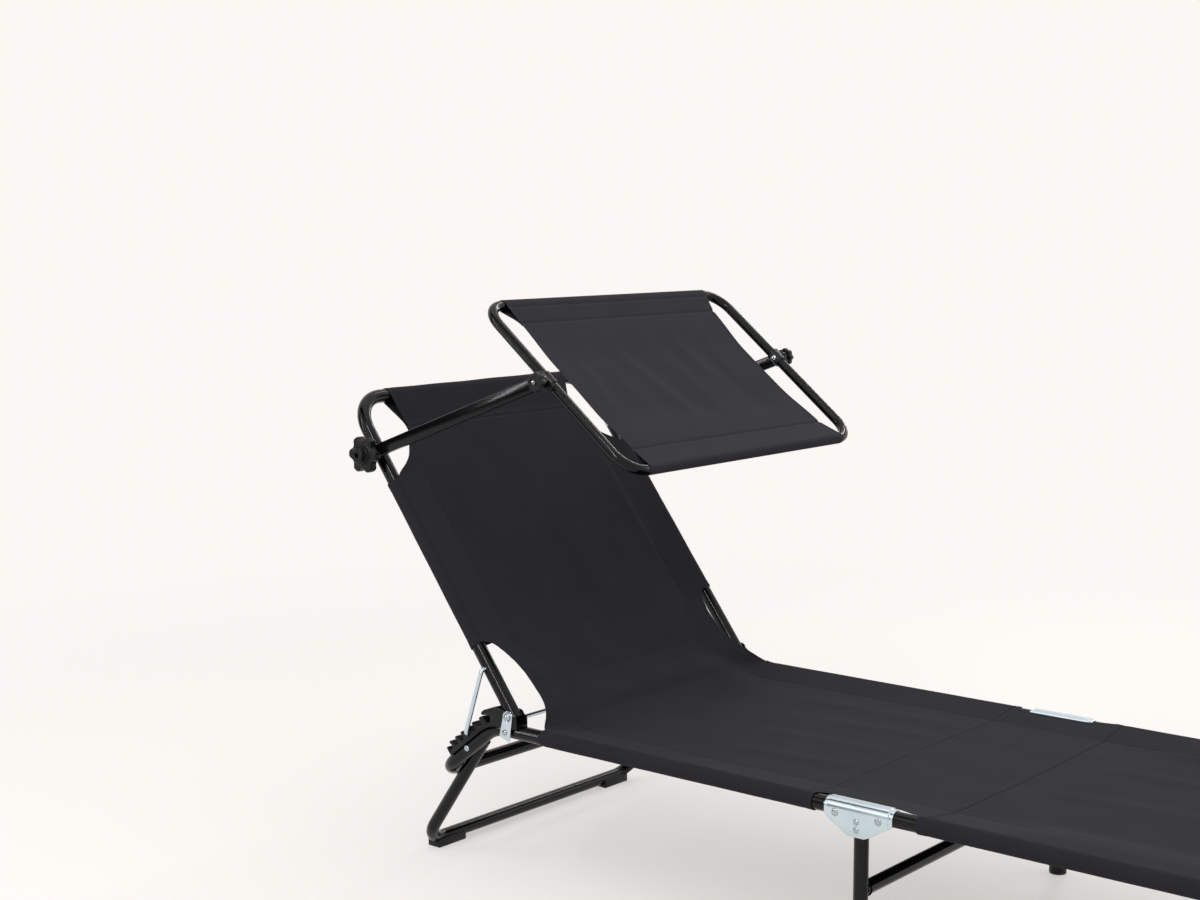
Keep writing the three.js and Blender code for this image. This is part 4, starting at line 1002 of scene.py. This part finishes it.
# Canopy frame. 16 mm tube bent to a rounded rectangle, butted under the cloth of the upper bar and gripped at
# both sides by plastic saddles on bolts with small star knobs.
canopy_slope = radians(38.8)
canopy_down = spot(cos(canopy_slope), -sin(canopy_slope))
canopy_top = spot(sin(canopy_slope), cos(canopy_slope))
canopy_radius = 8
canopy_corner = 40
canopy_y = rail_y + 3
canopy_run = 359
upper_share = 0.46
upper_bar = along(arm_head, (canopy_down, -canopy_run * upper_share))
front_bar = along(arm_head, (canopy_down, canopy_run * (1 - upper_share)))
butt_gap = 0.25
loop = [beside(upper_bar, butt_gap), beside(upper_bar, canopy_y), beside(front_bar, canopy_y)]
loop += mirrored(loop)
canopy_tube = bent_tube(bmesh.new(), loop, [canopy_corner] * 4, canopy_radius, sides=28)
finish("canopy_tube", canopy_tube, enamel, "canopy", "black_enamel_steel", "canopy_frame")
saddle_ends = [along(arm_head, (canopy_down, reach)) for reach in (-11, 11)]
small_hub = [(0, 10.5), (1.6, 10.5), (2.2, 9.8), (2, 7), (2.6, 6.4), (3.2, 5.4), (3.2, 3.2), (1, 3.2)]
tilt_shank = inner_dome(-5.3) + [(-5.3, 3), (36.8, 3), (37.4, 2.4), (37.6, 0)]
for name, side in sides:
    saddle = plate(bmesh.new(), stadium(*saddle_ends, canopy_radius), *span(side, 9, 14), edge=0.8)
    bent_tube(saddle, [beside(place, side * canopy_y) for place in saddle_ends], [], 10, sides=28, bore=0)
    finish(f"canopy_saddle_block_{name}", saddle, plastic, "canopy", "black_plastic", f"canopy_saddle_{name}")
    finish(f"tilt_bolt_shank_{name}", turned(bmesh.new(), arm_head, side, tilt_shank), rivet_steel, "canopy",
           "zinc_steel", f"tilt_bolt_{name}")
    knob = star_knob(arm_head, side, radius=15, depth=9, lobes=8, valley=0.88, hub=small_hub)
    finish(f"tilt_knob_star_{name}", knob, plastic, f"tilt_knob_{name}", "black_plastic", f"tilt_knob_{name}")


# Canopy cloth. The same weave, unlined, folded round the upper and the front bar and sewn to itself; it pulls
# in
# between its four corners and wrinkles along the diagonals. Its colour is a little lighter than the sling's:
# painted light for the canopy's upward-facing cloth.
canopy_cloth, shader = start_material(
    "woven_polyester_canopy", Roughness=0.85, Sheen_Weight=0.03, Sheen_Roughness=0.5,
    Specular_IOR_Level=0.06)[:2]
# A lighter copy of the sling's tones: painted light for the upward-facing canopy.
weave(canopy_cloth, shader, "#29282d", "#302f35", rib_spacing)
canopy_lift = 9.2
canopy_seam = 41
canopy_half = 245
canopy_wrap = 75
canopy_folds = [
    ((84, -181), (263, -190), 10, 2.2), ((82, -84), (293, -13), 12, 2.0), ((74, 77), (203, 104), 11, 2.0),
    ((60, 170), (240, 150), 10, 1.4), ((110, -130), (300, -100), 13, 1.2), ((100, 20), (310, 60), 14, 1.4)]


def canopy_spot(s, column):
    """A place on the canopy, by the distance from the upper bar and by the share of its width."""
    from_end = min(s, canopy_run - s)
    from_bar = max(from_end, -from_end - 31)
    half = between([(0, 252), (12, 249.5), (canopy_seam, 243), (120, 241), (180, 240)], from_bar)
    y = column * half
    if s < 0:
        return beside(round_bar(-s, upper_bar, canopy_top, -canopy_down, canopy_lift, canopy_seam)[0], y)
    if s > canopy_run:
        past = s - canopy_run
        return beside(round_bar(past, front_bar, canopy_top, canopy_down, canopy_lift, canopy_seam)[0], y)
    low = -between([(0, 0), (2, 0.23), (canopy_seam, canopy_lift)], from_end)
    rise = soft((from_end - canopy_seam) / 90)
    low -= (6.5 + 3 * (1 - column * column)) * rise
    low += 0.3 * rise * sin(y / 13 + 0.9 * sin(s / 60))
    low += 0.4 * rise * sin((s * 0.4 - y) / 23 + 1)
    low += folds(canopy_folds, s, y)
    low += seam_lines((s - 11, s - canopy_seam, canopy_run - canopy_seam - s), 1.3, 1.5)
    low -= 0.45 * bump_at(half - abs(y) - 9, 1.4)
    return along(beside(upper_bar, y), (canopy_down, s), (canopy_top, canopy_lift + low))


canopy_columns = [-1, -0.994, -0.976, -0.968, -0.962, -0.955, -0.93] + [-0.9 + 0.05 * i for i in range(37)]
canopy_columns += [0.93, 0.955, 0.962, 0.968, 0.976, 0.994, 1]
fold_rows = [-70, -50, -36, -31, -26, -21, -16, -11, -6, 0, 2, 6, 9, 11, 13, 17, 24]
fold_rows += [32, 36, 39, 41, 43, 46, 50]
fold_rows += [canopy_run - row for row in fold_rows]
canopy_rows = row_list(-canopy_wrap, canopy_run + canopy_wrap, 9, *fold_rows)
piece, area = sew(
    "canopy_sheet", canopy_rows, canopy_columns, canopy_spot, lambda column: column * canopy_half * mm,
    canopy_cloth, "canopy_cloth", "canopy", "canopy_sling")
upright(piece, canopy_top)
thicken(piece)


# Studio. A pale floor that fades into the white round it, and three soft lamps.
# Three narrow strip lamps draw the highlights on the tubes, and two black cards the dark lines beside them.
pale = "#fbf7f4"
world = bpy.data.worlds.new("studio")
bpy.context.scene.world = world
world.use_nodes = True
sky = world.node_tree.nodes["Background"]
sky.inputs["Color"].default_value = linear("#ffffff")
sky.inputs["Strength"].default_value = 0.7
paper = add_node(world, "ShaderNodeBackground", {"Color": linear(pale), "Strength": 1.0})
ray = add_node(world, "ShaderNodeLightPath")
seen = ray.outputs["Is Camera Ray"]
for kind in ("Is Glossy Ray", "Is Transmission Ray"):
    either = add_node(world, "ShaderNodeMath", (), {0: seen, 1: ray.outputs[kind]}, operation="MAXIMUM")
    seen = either.outputs["Value"]
both = add_node(world, "ShaderNodeMixShader", (), {0: seen, 1: sky.outputs["Background"],
                2: paper.outputs["Background"]})
feed(world.node_tree.nodes["World Output"], "Surface", both.outputs["Shader"])


def aim(thing, place, target, front):
    thing.location = place
    thing.rotation_euler = (Vector(target) - Vector(place)).to_track_quat(front, "Y").to_euler()


def lamp(name, place, target, size, power, length=None):
    light = bpy.data.lights.new(name, "AREA")
    light.shape, light.size, light.size_y, light.energy = "RECTANGLE", size, length or size, power
    aim(add_object(name, light), place, target, "-Z")


lamp("top_lamp", (-0.3, -0.2, 3.2), (0, 0, 0.3), 2.2, 7)
lamp("near_lamp", (-1.6, -3.0, 1.9), (0, 0, 0.4), 1.4, 5)
lamp("far_lamp", (2.2, 2.6, 2.0), (0, 0, 0.4), 1.4, 10)
lamp("near_strip", (0.4, -2.2, 2.6), (-0.4, 0, 0.4), 0.12, 34, 2.4)
lamp("low_strip", (-2.4, -2.4, 1.5), (-0.4, 0, 0.4), 0.08, 16, 2.0)
lamp("far_strip", (-0.6, 2.3, 2.0), (-0.4, 0, 0.4), 0.1, 16, 2.4)

card_black, shader = start_material("card_black_matt", Roughness=1.0, Specular_IOR_Level=0.0)[:2]
shader.inputs["Base Color"].default_value = linear("#060606")


def dark_card(name, place, target, width, height):
    """A matt black card that is seen in reflections only."""
    sheet = bmesh.new()
    bmesh.ops.create_grid(sheet, x_segments=1, y_segments=1, size=0.5)
    bmesh.ops.scale(sheet, vec=(width, height, 1), verts=sheet.verts[:])
    card = mesh_object(name, sheet, card_black)
    aim(card, place, target, "Z")
    card.visible_camera = card.visible_diffuse = card.visible_shadow = card.visible_transmission = False


dark_card("near_card", (-3.1, -2.6, 1.1), (-0.6, 0, 0.6), 3.4, 1.9)
dark_card("over_card", (-1.2, -1.2, 2.9), (-1.2, -1.2, 4.0), 4.4, 0.8)

floor_paint, shader, here = start_material("floor_pale_paint", Roughness=0.9, Specular_IOR_Level=0.0)
shader.inputs["Base Color"].default_value = linear("#f4f0ed")
away = add_node(floor_paint, "ShaderNodeVectorMath", links={0: here}, operation="LENGTH")
fade = add_node(
    floor_paint, "ShaderNodeMapRange", {"From Min": 1.1, "From Max": 3.2, "To Min": 0.5, "To Max": 0.0},
    {"Value": away.outputs["Value"]}, interpolation_type="SMOOTHSTEP")
feed(shader, "Alpha", fade.outputs["Result"])
ground = bmesh.new()
bmesh.ops.create_circle(ground, cap_ends=True, segments=64, radius=9)
mesh_object("floor", ground, floor_paint)

bpy.context.scene.view_settings.view_transform = "Standard"
